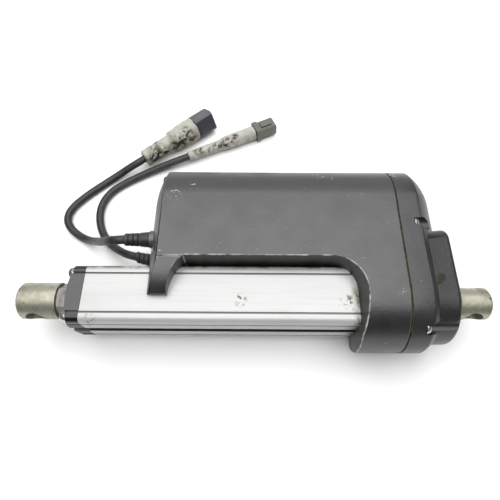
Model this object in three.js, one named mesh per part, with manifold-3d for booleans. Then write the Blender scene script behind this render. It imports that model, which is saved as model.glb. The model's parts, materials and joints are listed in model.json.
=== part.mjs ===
// Parallel-drive linear actuator, lying on its side. Millimetres, +Z up.
//
// Everything is laid out in the drive frame: its origin is on the spindle axis, midway between the two
// mounting eyes, +X runs towards the fixed rear eye, +Y towards the motor and +Z up. The exported group
// shifts that frame so that the origin is under the middle of the object, on the surface it lies on.

import * as THREE from 'three';
import { mergeVertices } from 'three/addons/utils/BufferGeometryUtils.js';
import Module from 'manifold-3d';

const wasm = await Module();
wasm.setup();

// ---------------------------------------------------------------- driving dimensions

const GAP = 0.3; // clearance kept between neighbours
const ROUND_STEPS = 24; // facets round a shaft or bore
const HALF_TURN_STEPS = 15; // facets round half of the housing

const EYE_SPAN = 300; // hole to hole, retracted
const EYE_REACH = 11; // hole centre to the end of an eye
const EYE_HOLE_R = 6.45; // for a half-inch pin
const ROD_EYE_R = 12.7;
const REAR_EYE_R = 11;
const EYE_CHAMFER = 1.6;
const ROD_EYE_X = -EYE_SPAN / 2;
const REAR_EYE_X = EYE_SPAN / 2;

const TUBE_HALF = 20;
const TUBE_CORNER_R = 4.5;
const TUBE_BORE_R = 15;
const TUBE_X = [-113, 71];
const GROOVE_AT = 13.4; // fine grooves, from the middle of each side
const GROOVE_WIDTH = 1.2;
const GROOVE_DEPTH = 0.8;
const SLOT_HALF = 4; // wide slot on the two sides that face +Y and -Y
const SLOT_DEPTH = 3;
const CAP_SCREW_AT = 15.2;

const CAP_TIP_X = -127.2;
const CAP_SEAT_X = -121.2;
const CAP_DOME_R = 60;
const CAP_BORE_R = 13.6;
const WIPER_X = [-125.2, -121];

const ROD_R = 11;
const ROD_BORE_R = 8;
const ROD_X = [-126, 36];
const SPINDLE_R = 6;
const NUT_X = [36.3, 62];

const MOTOR_OFFSET = 67.5; // spindle axis to motor axis
const HOUSING_R = 34; // radius about both axes, and half the height
const WALL = 4;
const FRONT_SEAM_X = -64;
const REAR_SEAM_X = 97.4;
const SEAM_HALF = 0.4; // half the gap that a gasket fills
const LEDGE_Y = 21; // lower edge of the motor bay, just clear of the tube
const GEARBOX_FRONT_X = 68;
const CUTOUT_R = 18; // corner between the ledge and the gearbox front
const CUTOUT_DRAFT = 3.3; // how far the gearbox front leans back between the tube and the housing's flats
const BULKHEAD_X = [72, 78];
const TUBE_STOP_X = TUBE_X[1] + GAP;
const SEAT_R = 14.3;

const FOOT_Y = -2.2; // lower end of the saddle that grips the tube
const FOOT_X = -57;
const FOOT_EDGE_R = 31;
const FOOT_BACK_R = 32.5;
const FOOT_STEP = 0.5; // how far the foot lies below the motor bay's flat
const FOOT_TOP_Y = 20.6; // where that step is
const FOOT_SEAM_X = -68; // the front seam leans out to this at the foot's lower end

const COVER_WALL = 3.2;
const COVER_CORNER_R = 2.4; // lower end of the front cover, beside the foot
const PAD_R = 6.3; // flat pad under each cable boot
const FRONT_DOME = {
  domeX: -16.1,
  radius: 58,
  toward: -1,
  axes: [MOTOR_OFFSET],
  straight: [-10, MOTOR_OFFSET],
};
const REAR_DOME = {
  domeX: 89,
  radius: 40.5,
  toward: 1,
  axes: [0, MOTOR_OFFSET],
  straight: [0, MOTOR_OFFSET],
};

const BOSS_BASE = { x: 109, half: 31.2, lowR: 28.4, topY: 43.5 };
const BOSS_END = { x: 131, half: 29.8, lowR: 28, topY: 45.8 };
const BOSS_CORNER_R = 10;
const BOSS_EDGE_R = 3; // rounding around the boss's flat end

const MODULE = 1.25;
const PRESSURE = THREE.MathUtils.degToRad(20);
const TOOTH_ADDENDUM = 0.85; // times the module
const TOOTH_DEDENDUM = 1.2;
const BACKLASH = 0.34;
const SPINDLE_TEETH = 36;
const IDLER_TEETH = 30;
const PINION_TEETH = 12;
const IDLER_Y = (MODULE * (SPINDLE_TEETH + IDLER_TEETH)) / 2;
const GEAR_X = [81, 91];

const MOTOR_X = [-52, 62];
const MOTOR_R = 28;
const MOTOR_BAY_R = 30;
const SHAFT_R = 4;

const REAR_SCREWS = [[46.6, 30.6], [46.6, -30.6], [-22.6, 21.2], [-22.6, -21.2]];
const REAR_SEAT_X = 107;
const FRONT_SCREWS = [[29, 26], [29, -26], [86.6, 19.1], [86.6, -19.1]];
const FRONT_SEAT_X = -65.5;
const COVER_POST_R = 6.8;
const SCREW_R = 1.9;
const SCREW_HOLE_R = 2.3;
const HEAD_R = 4;
const HEAD_HEIGHT = 3;
const CAP_HEAD_HEIGHT = 4.2;
const LOW_HEAD_HEIGHT = 1.6;

const CABLE_R = 3.2;
const POWER_EXIT = { y: 40.7, z: 15 };
const SIGNAL_EXIT = { y: 39, z: -18.5 };
const SIGNAL_BOOT_DRIFT = 3; // how far its soft tip is pulled towards +Y
const BOOT_X = [-73.7, -92];
const TABLE_Z = -HOUSING_R;

// Hand-chosen route of each cable, from its boot to its connector, in the drive frame.
const POWER_ROUTE = [
  [-92.3, 40.7, 15], [-97, 40.5, 14.8], [-102.5, 41.4, 12.2], [-108.5, 43.6, 6.4], [-114.5, 47.2, -1.8],
  [-120.5, 51.4, -10.8], [-126.5, 55.6, -19], [-133, 59.4, -25.8], [-140, 63, -29.8], [-147.3, 67.4, -30.7],
  [-153.8, 73, -30.7], [-158, 80, -30.7], [-158.3, 87.4, -30.7], [-155.2, 94.6, -30.7],
  [-149.6, 101.6, -30.7], [-141, 110.2, -30.7], [-130.4, 119.4, -30.6], [-119.4, 127.2, -28.8],
  [-110.4, 131.8, -25.4],
  [-103.6, 135.1, -23.2], [-98.2, 139.6, -23.2],
];
const SIGNAL_ROUTE = [
  [-93.4, 42.4, -18.5], [-97.2, 43.6, -19], [-102, 45.7, -20.6], [-108.2, 49.6, -23], [-114.8, 54.9, -26],
  [-121, 61.3, -28.8], [-126.5, 69.2, -30.5], [-130, 77.6, -30.7], [-131.7, 86.4, -30.7],
  [-131.5, 94.6, -30.7], [-128.6, 103.6, -30.7], [-122.4, 112, -30.7], [-112.6, 119.6, -30.6],
  [-100.4, 126.8, -30.2], [-88, 133, -29.2], [-76.5, 137.8, -27.8], [-67, 141.75, -27], [-60, 145.06, -27],
];
const POWER_HEADING = Math.atan2(0.637, 0.77);
const SIGNAL_HEADING = Math.atan2(0.428, 0.904);

// ---------------------------------------------------------------- materials

function finish(color, roughness, metalness) {
  return () => new THREE.MeshStandardMaterial({ color, roughness, metalness });
}

const FINISH = {
  anodised: finish(0xdfe0de, 0.42, 0.85),
  coated: finish(0x4d4e50, 0.62, 0.1),
  blackPlastic: finish(0x232325, 0.55, 0),
  rubber: finish(0x1b1b1c, 0.8, 0),
  platedSteel: finish(0xa9a48e, 0.4, 0.9),
  polishedSteel: finish(0xc9cbcd, 0.18, 1),
  screwSteel: finish(0xd0d0cc, 0.3, 0.95),
  darkSteel: finish(0x2c2c2e, 0.45, 0.6),
  steel: finish(0x8d9092, 0.35, 0.9),
  bronze: finish(0xb08a4a, 0.4, 0.85),
  whitePolymer: finish(0xe6e4da, 0.6, 0),
  magnet: finish(0x3a3b3f, 0.6, 0.3),
  copper: finish(0xb3683c, 0.35, 0.9),
  carbon: finish(0x2a2a2a, 0.7, 0),
  board: finish(0x2f5b3c, 0.6, 0),
  gasket: finish(0x3d3a2c, 0.9, 0),
  offWhite: finish(0xd8d2c2, 0.65, 0),
  greyGreen: finish(0x8b9080, 0.55, 0),
};

// ---------------------------------------------------------------- outlines

/** Points round part of a circle, from one angle to another in degrees, both ends included. */
function arc(centreA, centreB, radius, fromDeg, toDeg, steps) {
  const points = [];
  for (let i = 0; i <= steps; i += 1) {
    const angle = THREE.MathUtils.degToRad(fromDeg + ((toDeg - fromDeg) * i) / steps);
    points.push(new THREE.Vector2(centreA + radius * Math.cos(angle), centreB + radius * Math.sin(angle)));
  }
  return points;
}

function circle(centreA, centreB, radius, steps) {
  return arc(centreA, centreB, radius, 0, 360 - 360 / steps, steps - 1);
}

function corner(a, b) {
  return new THREE.Vector2(a, b);
}

function rectangle(a0, b0, a1, b1) {
  return [corner(a0, b0), corner(a1, b0), corner(a1, b1), corner(a0, b1)];
}

/** A rectangle about the origin with its corners cut off at 45 degrees. */
function chamferedRectangle(halfA, halfB, cut) {
  const innerA = halfA - cut;
  const innerB = halfB - cut;
  return [
    corner(innerA, -halfB), corner(halfA, -innerB), corner(halfA, innerB), corner(innerA, halfB),
    corner(-innerA, halfB), corner(-halfA, innerB), corner(-halfA, -innerB), corner(-innerA, -halfB),
  ];
}

function shapeOf(outline, ...holes) {
  const shape = new THREE.Shape(outline);
  for (const hole of holes) shape.holes.push(new THREE.Path(hole));
  return shape;
}

/** Section across both drive axes: a flat-sided oval. */
function oval(radius) {
  return [
    ...arc(MOTOR_OFFSET, 0, radius, -90, 90, HALF_TURN_STEPS),
    ...arc(0, 0, radius, 90, 270, HALF_TURN_STEPS),
  ];
}

/** Section of the motor bay's inside: round about the motor, square towards the tube. */
function bayOval(radius, lowY) {
  return [
    corner(lowY, -radius + 2),
    ...arc(MOTOR_OFFSET, 0, radius, -90, 90, HALF_TURN_STEPS),
    corner(lowY, radius - 2),
  ];
}

/** Section of the motor bay's outside, with the two legs of the foot that straddle the tube. */
function straddleSection() {
  const inner = TUBE_HALF + 0.4;
  const drop = THREE.MathUtils.radToDeg(Math.asin((FOOT_TOP_Y - FOOT_Y) / FOOT_BACK_R));
  const backZ = HOUSING_R - FOOT_STEP - FOOT_BACK_R;
  return [
    corner(FOOT_Y, -inner),
    ...arc(FOOT_TOP_Y, -backZ, FOOT_BACK_R, 270 - drop, 270, 5),
    corner(FOOT_TOP_Y, -HOUSING_R),
    ...arc(MOTOR_OFFSET, 0, HOUSING_R, -90, 90, HALF_TURN_STEPS),
    corner(FOOT_TOP_Y, HOUSING_R),
    ...arc(FOOT_TOP_Y, backZ, FOOT_BACK_R, 90, 90 + drop, 5),
    corner(FOOT_Y, inner),
    corner(inner, inner),
    corner(inner, -inner),
  ];
}

/** Outline of the tube and its end cap: rounded square, fine grooves, and a wide slot in two sides. */
function tubeOutline(grow = 0, slotted = true) {
  const half = TUBE_HALF + grow;
  const points = [];
  for (let side = 0; side < 4; side += 1) {
    const local = [corner(half, TUBE_CORNER_R - TUBE_HALF)];
    const groove = (at) => {
      const inner = half - GROOVE_DEPTH;
      const [low, high] = [at - GROOVE_WIDTH / 2, at + GROOVE_WIDTH / 2];
      local.push(corner(half, low), corner(inner, low), corner(inner, high), corner(half, high));
    };
    if (slotted) groove(-GROOVE_AT);
    if (slotted && side % 2 === 0) {
      const inner = half - SLOT_DEPTH;
      local.push(corner(half, -SLOT_HALF), corner(inner, -SLOT_HALF));
      local.push(corner(inner, SLOT_HALF), corner(half, SLOT_HALF));
    }
    if (slotted) groove(GROOVE_AT);
    const centre = TUBE_HALF - TUBE_CORNER_R;
    local.push(...arc(centre, centre, TUBE_CORNER_R + grow, 0, 72, 4));
    for (const p of local) points.push(p.rotateAround(new THREE.Vector2(), (side * Math.PI) / 2));
  }
  return points;
}

/** Spur gear outline with involute flanks; a tooth is centred on the direction given. */
function gearOutline(teeth, firstToothDeg) {
  const pitchR = (MODULE * teeth) / 2;
  const baseR = pitchR * Math.cos(PRESSURE);
  const rootR = pitchR - TOOTH_DEDENDUM * MODULE;
  const tipR = pitchR + TOOTH_ADDENDUM * MODULE;
  const involute = (angle) => Math.tan(angle) - angle;
  const halfAngle = (radius) => {
    const rolled = radius > baseR ? involute(Math.acos(baseR / radius)) : 0;
    return Math.PI / (2 * teeth) - BACKLASH / (2 * pitchR) + involute(PRESSURE) - rolled;
  };
  const radii = baseR - rootR > 0.6 ? [rootR, baseR, tipR] : [rootR, tipR];
  const points = [];
  for (let tooth = 0; tooth < teeth; tooth += 1) {
    const middle = THREE.MathUtils.degToRad(firstToothDeg) + (2 * Math.PI * tooth) / teeth;
    const flank = (radius, side) => {
      const angle = middle + side * halfAngle(radius);
      points.push(new THREE.Vector2(radius * Math.cos(angle), radius * Math.sin(angle)));
    };
    for (const radius of radii) flank(radius, -1);
    for (const radius of [...radii].reverse()) flank(radius, 1);
  }
  return points;
}

// ---------------------------------------------------------------- solids

/** Extrudes an outline given as (y, z) from one x to another. */
function alongX(shape, fromX, toX) {
  const geometry = new THREE.ExtrudeGeometry(shape, { depth: toX - fromX, bevelEnabled: false });
  const axes = new THREE.Matrix4().makeBasis(
    new THREE.Vector3(0, 1, 0),
    new THREE.Vector3(0, 0, 1),
    new THREE.Vector3(1, 0, 0),
  );
  return geometry.applyMatrix4(axes).translate(fromX, 0, 0);
}

/** Extrudes an outline given as (x, y) from one z to another. */
function alongZ(shape, fromZ, toZ) {
  const geometry = new THREE.ExtrudeGeometry(shape, { depth: toZ - fromZ, bevelEnabled: false });
  return geometry.translate(0, 0, fromZ);
}

/** Extrudes an outline given as (z, x) from one y to another. */
function alongY(shape, fromY, toY) {
  const geometry = new THREE.ExtrudeGeometry(shape, { depth: toY - fromY, bevelEnabled: false });
  const axes = new THREE.Matrix4().makeBasis(
    new THREE.Vector3(0, 0, 1),
    new THREE.Vector3(1, 0, 0),
    new THREE.Vector3(0, 1, 0),
  );
  return geometry.applyMatrix4(axes).translate(0, fromY, 0);
}

/** Turns a profile of [x, radius] points about the X axis. It starts and ends on the axis, or closes. */
function turned(profile, segments = ROUND_STEPS, closed = false) {
  const points = profile.map(([x, radius]) => new THREE.Vector2(radius, x));
  if (closed) points.push(points[0].clone());
  return new THREE.LatheGeometry(points, segments).rotateZ(-Math.PI / 2);
}

function bar(fromX, toX, radius, segments = ROUND_STEPS) {
  return turned([[fromX, 0], [fromX, radius], [toX, radius], [toX, 0]], segments);
}

function sleeve(fromX, toX, innerR, outerR, segments = ROUND_STEPS) {
  return turned([[fromX, innerR], [fromX, outerR], [toX, outerR], [toX, innerR]], segments, true);
}

/** A closed mesh with merged vertices as a manifold-3d solid. */
function solid(geometry) {
  const bare = geometry.clone();
  bare.deleteAttribute('normal');
  bare.deleteAttribute('uv');
  const merged = mergeVertices(bare, 1e-4);
  const index = merged.index.array;
  const kept = [];
  for (let i = 0; i < index.length; i += 3) {
    const [a, b, c] = index.slice(i, i + 3);
    if (a !== b && b !== c && c !== a) kept.push(a, b, c);
  }
  const vertProperties = new Float32Array(merged.attributes.position.array);
  return new wasm.Manifold(new wasm.Mesh({ numProp: 3, vertProperties, triVerts: new Uint32Array(kept) }));
}

function geometryOf(body) {
  const mesh = body.getMesh();
  const geometry = new THREE.BufferGeometry();
  geometry.setAttribute('position', new THREE.BufferAttribute(new Float32Array(mesh.vertProperties), 3));
  geometry.setIndex(new THREE.BufferAttribute(new Uint32Array(mesh.triVerts), 1));
  geometry.computeVertexNormals();
  return geometry;
}

function cut(base, tools) {
  return tools.reduce((left, tool) => left.subtract(solid(tool)), base);
}

function join(first, ...others) {
  return others.reduce((sum, other) => sum.add(solid(other)), solid(first));
}

function moved(geometry, y, z) {
  return geometry.clone().translate(0, y, z);
}

// ---------------------------------------------------------------- assembly

const drive = new THREE.Group();

function place(name, geometry, look, y = 0, z = 0, parent = drive) {
  const mesh = new THREE.Mesh(geometry, look());
  mesh.name = name;
  mesh.position.set(0, y, z);
  parent.add(mesh);
  return mesh;
}

/** Screw along X with its seat at seatX; toward is +1 or -1, the way its head points. */
function screw(seatX, toward, length, headHeight) {
  const at = (distance) => seatX + toward * (distance + GAP);
  const profile = [
    [at(-length), 0], [at(-length), SCREW_R], [at(0), SCREW_R],
    [at(0), HEAD_R], [at(headHeight), HEAD_R * 0.75], [at(headHeight), 0],
  ];
  return turned(toward > 0 ? profile : profile.reverse(), 10);
}

// -- tube, end cap and their fasteners

function addTube() {
  const channels = [];
  for (const y of [-1, 1]) {
    for (const z of [-1, 1]) channels.push(circle(y * CAP_SCREW_AT, z * CAP_SCREW_AT, SCREW_HOLE_R, 8));
  }
  const section = shapeOf(tubeOutline(), circle(0, 0, TUBE_BORE_R, ROUND_STEPS), ...channels);
  place('profile_tube', alongX(section, ...TUBE_X), FINISH.anodised);
}

function addEndCap() {
  const dome = [];
  for (const radius of [0, 14, 20, 25, 30]) {
    const sink = CAP_DOME_R - Math.sqrt(CAP_DOME_R ** 2 - radius ** 2);
    dome.push([CAP_TIP_X + sink, radius]);
  }
  dome.push([TUBE_X[0] - GAP, 30], [TUBE_X[0] - GAP, 0]);
  const block = solid(alongX(shapeOf(tubeOutline()), CAP_TIP_X - 2, TUBE_X[0] - GAP));
  const holes = [bar(CAP_TIP_X - 3, TUBE_X[0] + 1, CAP_BORE_R)];
  let number = 1;
  for (const y of [-CAP_SCREW_AT, CAP_SCREW_AT]) {
    for (const z of [-CAP_SCREW_AT, CAP_SCREW_AT]) {
      holes.push(moved(bar(CAP_TIP_X - 3, TUBE_X[0] + 1, SCREW_HOLE_R, 8), y, z));
      holes.push(moved(bar(CAP_TIP_X - 3, CAP_SEAT_X, HEAD_R + GAP, 10), y, z));
      place(`cap_screw_${number}`, screw(CAP_SEAT_X, -1, 24, CAP_HEAD_HEIGHT), FINISH.screwSteel, y, z);
      number += 1;
    }
  }
  place('tube_end_cap', geometryOf(cut(block.intersect(solid(turned(dome))), holes)), FINISH.blackPlastic);
  const ringOuter = CAP_BORE_R - GAP;
  const ringInner = ROD_R + GAP;
  place('wiper_seal', sleeve(...WIPER_X, ringInner, ringOuter), FINISH.rubber);
  place('guide_bush', sleeve(WIPER_X[1] + GAP, TUBE_X[0] - GAP, ringInner, ringOuter), FINISH.bronze);
}

// -- piston rod group, which slides

function addRod() {
  place('piston_rod', sleeve(...ROD_X, ROD_BORE_R, ROD_R), FINISH.polishedSteel);
  place('spindle_nut', sleeve(...NUT_X, SPINDLE_R + GAP, 11.5), FINISH.bronze);
  place('nut_guide_ring', sleeve(NUT_X[0] + 2, NUT_X[1] - 2, 11.8, TUBE_BORE_R - GAP), FINISH.whitePolymer);

  const hexSide = 12.6;
  const hexagon = arc(0, 0, hexSide, 5, 305, 5);
  const lockNut = shapeOf(hexagon, circle(0, 0, ROD_BORE_R, 24));
  place('rod_lock_nut', alongX(lockNut, -133.7, ROD_X[0] - GAP), FINISH.platedSteel);

  const tip = ROD_EYE_X - EYE_REACH;
  const shank = ROD_BORE_R - GAP;
  const body = turned([
    [tip, 0], [tip, ROD_EYE_R - EYE_CHAMFER], [tip + EYE_CHAMFER, ROD_EYE_R], [-134, ROD_EYE_R],
    [-134, shank], [-110, shank], [-110, 0],
  ], 28);
  place('rod_eye', geometryOf(cut(solid(body), [eyeHole(ROD_EYE_X)])), FINISH.platedSteel);
}

function eyeHole(x) {
  return new THREE.CylinderGeometry(EYE_HOLE_R, EYE_HOLE_R, 60, ROUND_STEPS).translate(x, 0, 0);
}

// -- spindle group, which spins

function addSpindle() {
  place('spindle', bar(-104, 93, SPINDLE_R), FINISH.steel);
  place('spindle_end_ring', sleeve(-104, -97, SPINDLE_R + GAP, ROD_BORE_R - GAP), FINISH.whitePolymer);
  const section = shapeOf(gearOutline(SPINDLE_TEETH, 0), circle(0, 0, SPINDLE_R + GAP, ROUND_STEPS));
  place('spindle_gear', alongX(section, ...GEAR_X), FINISH.steel);
}

// -- gear train

function addGearTrain() {
  const halfTooth = 180 / IDLER_TEETH;
  const idler = shapeOf(gearOutline(IDLER_TEETH, halfTooth), circle(0, 0, 5.3, 20));
  place('idler_gear', alongX(idler, ...GEAR_X), FINISH.steel, IDLER_Y);
  place('idler_bush', sleeve(...GEAR_X, 3.3, 5, 20), FINISH.bronze, IDLER_Y);
  place('idler_axle', bar(BULKHEAD_X[0] + 2.3, GEAR_X[1] + 2.5, 3, 20), FINISH.steel, IDLER_Y);
  const pinion = shapeOf(gearOutline(PINION_TEETH, 180), circle(0, 0, SHAFT_R + GAP, 16));
  place('motor_pinion', alongX(pinion, ...GEAR_X), FINISH.steel, MOTOR_OFFSET);
  const bearing = sleeve(TUBE_STOP_X + GAP, BULKHEAD_X[1] - GAP, SPINDLE_R + GAP, SEAT_R - GAP);
  place('spindle_bearing', bearing, FINISH.steel);
}

// -- motor

function addMotor() {
  const [front, back] = MOTOR_X;
  const canWall = 2;
  const inner = MOTOR_R - canWall;
  const can = turned([
    [front, inner], [front, MOTOR_R], [back, MOTOR_R],
    [back, 11], [back - canWall, 11], [back - canWall, inner],
  ], ROUND_STEPS, true);
  place('motor_can', can, FINISH.steel, MOTOR_OFFSET);
  const endBell = sleeve(front - 3.3, front - GAP, SHAFT_R + GAP, MOTOR_R);
  place('motor_end_bell', endBell, FINISH.blackPlastic, MOTOR_OFFSET);
  place('motor_bearing', sleeve(back - 6, back + 1, SHAFT_R + GAP, 10.7, 20), FINISH.steel, MOTOR_OFFSET);

  for (const [name, middleDeg] of [['motor_magnet_1', 90], ['motor_magnet_2', 270]]) {
    const outline = [
      ...arc(0, 0, inner - GAP, middleDeg - 62, middleDeg + 62, 10),
      ...arc(0, 0, 21.4, middleDeg + 62, middleDeg - 62, 10),
    ];
    place(name, alongX(shapeOf(outline), -26, 42), FINISH.magnet, MOTOR_OFFSET);
  }

  const core = [];
  const poles = 10;
  for (let pole = 0; pole < poles; pole += 1) {
    const middle = (360 * pole) / poles;
    core.push(...arc(0, 0, 20.8, middle - 14, middle + 14, 3));
    core.push(...arc(0, 0, 13, middle + 17, middle + 19, 1));
  }
  const laminations = shapeOf(core, circle(0, 0, SHAFT_R + GAP, 16));
  place('motor_armature', alongX(laminations, -24, 40), FINISH.steel, MOTOR_OFFSET);
  place('motor_commutator', sleeve(-45, -31, SHAFT_R + GAP, 8.5, 20), FINISH.copper, MOTOR_OFFSET);
  place('motor_shaft', bar(-55.3, GEAR_X[1] + 2, SHAFT_R, 16), FINISH.steel, MOTOR_OFFSET);
  for (const [name, side] of [['motor_brush_1', 1], ['motor_brush_2', -1]]) {
    place(name, new THREE.BoxGeometry(7, 5, 9).translate(-38, 0, side * 13.5), FINISH.carbon, MOTOR_OFFSET);
  }
  place('control_board', new THREE.BoxGeometry(92, 1.6, 46).translate(4, 29, 0), FINISH.board);
}

// -- housing

/** Plan of the motor bay and foot, in front of the gearbox. */
function baySidePlan(seamGap) {
  const seam = FRONT_SEAM_X + seamGap;
  const lean = FOOT_SEAM_X + seamGap;
  const sweep = THREE.MathUtils.radToDeg(Math.asin((LEDGE_Y - FOOT_Y) / FOOT_EDGE_R));
  return [
    corner(seam, 110), corner(seam, LEDGE_Y), corner(lean, FOOT_Y - 1), corner(FOOT_X, FOOT_Y - 1),
    ...arc(FOOT_X + FOOT_EDGE_R, FOOT_Y, FOOT_EDGE_R, 180, 180 - sweep, 8),
    corner(GEARBOX_FRONT_X - CUTOUT_R + 1, LEDGE_Y), corner(GEARBOX_FRONT_X - CUTOUT_R + 1, 110),
  ];
}

/** Tapered room over the tube that leans the gearbox front back, above (side 1) or below it (side -1). */
function cutoutDraft(side) {
  const slab = (grow, z) => {
    const radius = CUTOUT_R + grow;
    const outline = [
      corner(GEARBOX_FRONT_X - CUTOUT_R - 5, LEDGE_Y),
      ...arc(GEARBOX_FRONT_X - CUTOUT_R, LEDGE_Y - radius, radius, 90, 0, 10),
      corner(GEARBOX_FRONT_X + grow, -40), corner(GEARBOX_FRONT_X - CUTOUT_R - 5, -40),
    ];
    return solid(alongZ(shapeOf(outline), z - 0.1, z + 0.1));
  };
  const start = slab(0, side * TUBE_HALF);
  return wasm.Manifold.hull([start, slab(CUTOUT_DRAFT, side * HOUSING_R)]);
}

function addHousing() {
  const arcX = GEARBOX_FRONT_X - CUTOUT_R;
  const arcY = LEDGE_Y - CUTOUT_R;
  const high = HOUSING_R + 6;
  const gearPlan = [
    corner(arcX, 110), ...arc(arcX, arcY, CUTOUT_R, 90, 0, 10), corner(GEARBOX_FRONT_X, -40),
    corner(REAR_SEAM_X - SEAM_HALF, -40), corner(REAR_SEAM_X - SEAM_HALF, 110),
  ];
  const bay = solid(alongX(shapeOf(straddleSection()), -80, arcX + 1))
    .intersect(solid(alongZ(shapeOf(baySidePlan(SEAM_HALF)), -high, high)));
  const gearbox = solid(alongX(shapeOf(oval(HOUSING_R)), arcX - 1, REAR_SEAM_X))
    .intersect(solid(alongZ(shapeOf(gearPlan), -high, high)));

  const gearChamber = cut(
    solid(alongX(shapeOf(oval(HOUSING_R - WALL)), BULKHEAD_X[1], 110)),
    REAR_SCREWS.map(([y, z]) => moved(bar(70, 120, 5, 12), y, z)),
  );
  const motorBay = cut(
    solid(alongX(shapeOf(bayOval(MOTOR_BAY_R, LEDGE_Y + WALL)), -80, BULKHEAD_X[0])),
    FRONT_SCREWS.map(([y, z]) => moved(bar(-90, -55.6, 4.6, 12), y, z)),
  );
  const bores = [
    alongX(shapeOf(tubeOutline(GAP, false)), 50, TUBE_STOP_X),
    bar(TUBE_STOP_X - 1, BULKHEAD_X[1] + 1, SEAT_R),
    moved(bar(BULKHEAD_X[0] - 1, BULKHEAD_X[1] + 1, 9.5, 24), MOTOR_OFFSET, 0),
    moved(bar(BULKHEAD_X[0] + 2, BULKHEAD_X[1] + 1, 3 + GAP, 20), IDLER_Y, 0),
    ...REAR_SCREWS.map(([y, z]) => moved(bar(82, 110, SCREW_HOLE_R, 8), y, z)),
    ...FRONT_SCREWS.map(([y, z]) => moved(bar(-80, -55, SCREW_HOLE_R, 8), y, z)),
  ];
  const shell = bay.add(gearbox).subtract(cutoutDraft(1)).subtract(cutoutDraft(-1));
  const body = cut(shell.subtract(gearChamber).subtract(motorBay), bores);
  place('motor_housing', geometryOf(body), FINISH.coated);
}

// -- covers and gaskets

/** Room under a domed cover: the arc from domeX, turned about each axis and run straight between ends. */
function domeSpace({ domeX, radius, toward, axes, straight }) {
  const reach = HOUSING_R + 1;
  const steps = 6;
  const rim = [];
  for (let i = 0; i <= steps; i += 1) {
    const r = (reach * i) / steps;
    rim.push([domeX + toward * Math.sqrt(radius ** 2 - r ** 2), r]);
  }
  const profile = [[domeX, 0], [domeX, reach], ...[...rim].reverse()];
  const round = turned(toward > 0 ? profile : profile.reverse(), 36);
  const section = [...rim.map(([x, r]) => corner(r, x)), corner(reach, domeX)];
  const mirrored = section.filter((p) => p.x > 0).map((p) => corner(-p.x, p.y)).reverse();
  const prism = alongY(shapeOf([...mirrored, ...section]), ...straight);
  return join(prism, ...axes.map((y) => moved(round, y, 0)));
}

function addFrontCover() {
  const high = HOUSING_R + 6;
  const lean = FOOT_SEAM_X - SEAM_HALF;
  const roundY = FOOT_Y + COVER_CORNER_R;
  const plan = [
    corner(-90, 110), corner(-90, roundY), ...arc(lean, roundY, COVER_CORNER_R, 180, 270, 4),
    corner(FRONT_SEAM_X - SEAM_HALF, LEDGE_Y), corner(FRONT_SEAM_X - SEAM_HALF, 110),
  ];
  const outside = solid(alongX(shapeOf(straddleSection()), -90, -50))
    .intersect(solid(alongZ(shapeOf(plan), -high, high)))
    .intersect(domeSpace(FRONT_DOME))
    .add(solid(moved(bar(BOOT_X[0] + GAP, -66, PAD_R), POWER_EXIT.y, POWER_EXIT.z)))
    .add(solid(moved(bar(BOOT_X[0] + GAP, -66, PAD_R), SIGNAL_EXIT.y, SIGNAL_EXIT.z)));
  const inside = cut(
    solid(alongX(shapeOf(bayOval(MOTOR_BAY_R, LEDGE_Y + WALL)), -90, -50))
      .intersect(domeSpace({ ...FRONT_DOME, radius: FRONT_DOME.radius - COVER_WALL })),
    FRONT_SCREWS.map(([y, z]) => moved(bar(-90, -40, COVER_POST_R, 12), y, z)),
  );
  const holes = [];
  for (const [y, z] of FRONT_SCREWS) {
    holes.push(moved(bar(-90, -50, SCREW_HOLE_R, 8), y, z));
    holes.push(moved(bar(-90, FRONT_SEAT_X, HEAD_R + 0.6, 12), y, z));
  }
  for (const { y, z } of [POWER_EXIT, SIGNAL_EXIT]) holes.push(moved(bar(-90, -50, 4.2, 12), y, z));
  place('front_cover', geometryOf(cut(outside.subtract(inside), holes)), FINISH.coated);

  const seal = SEAM_HALF - 0.15;
  const ring = shapeOf(
    bayOval(MOTOR_BAY_R + 2.6, LEDGE_Y + 1.6),
    bayOval(MOTOR_BAY_R + 0.8, LEDGE_Y + 3.4).reverse(),
  );
  place('front_gasket', alongX(ring, FRONT_SEAM_X - seal, FRONT_SEAM_X + seal), FINISH.gasket);
  FRONT_SCREWS.forEach(([y, z], i) => {
    place(`front_cover_screw_${i + 1}`, screw(FRONT_SEAT_X, -1, 10, LOW_HEAD_HEIGHT), FINISH.darkSteel, y, z);
  });
}

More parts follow.
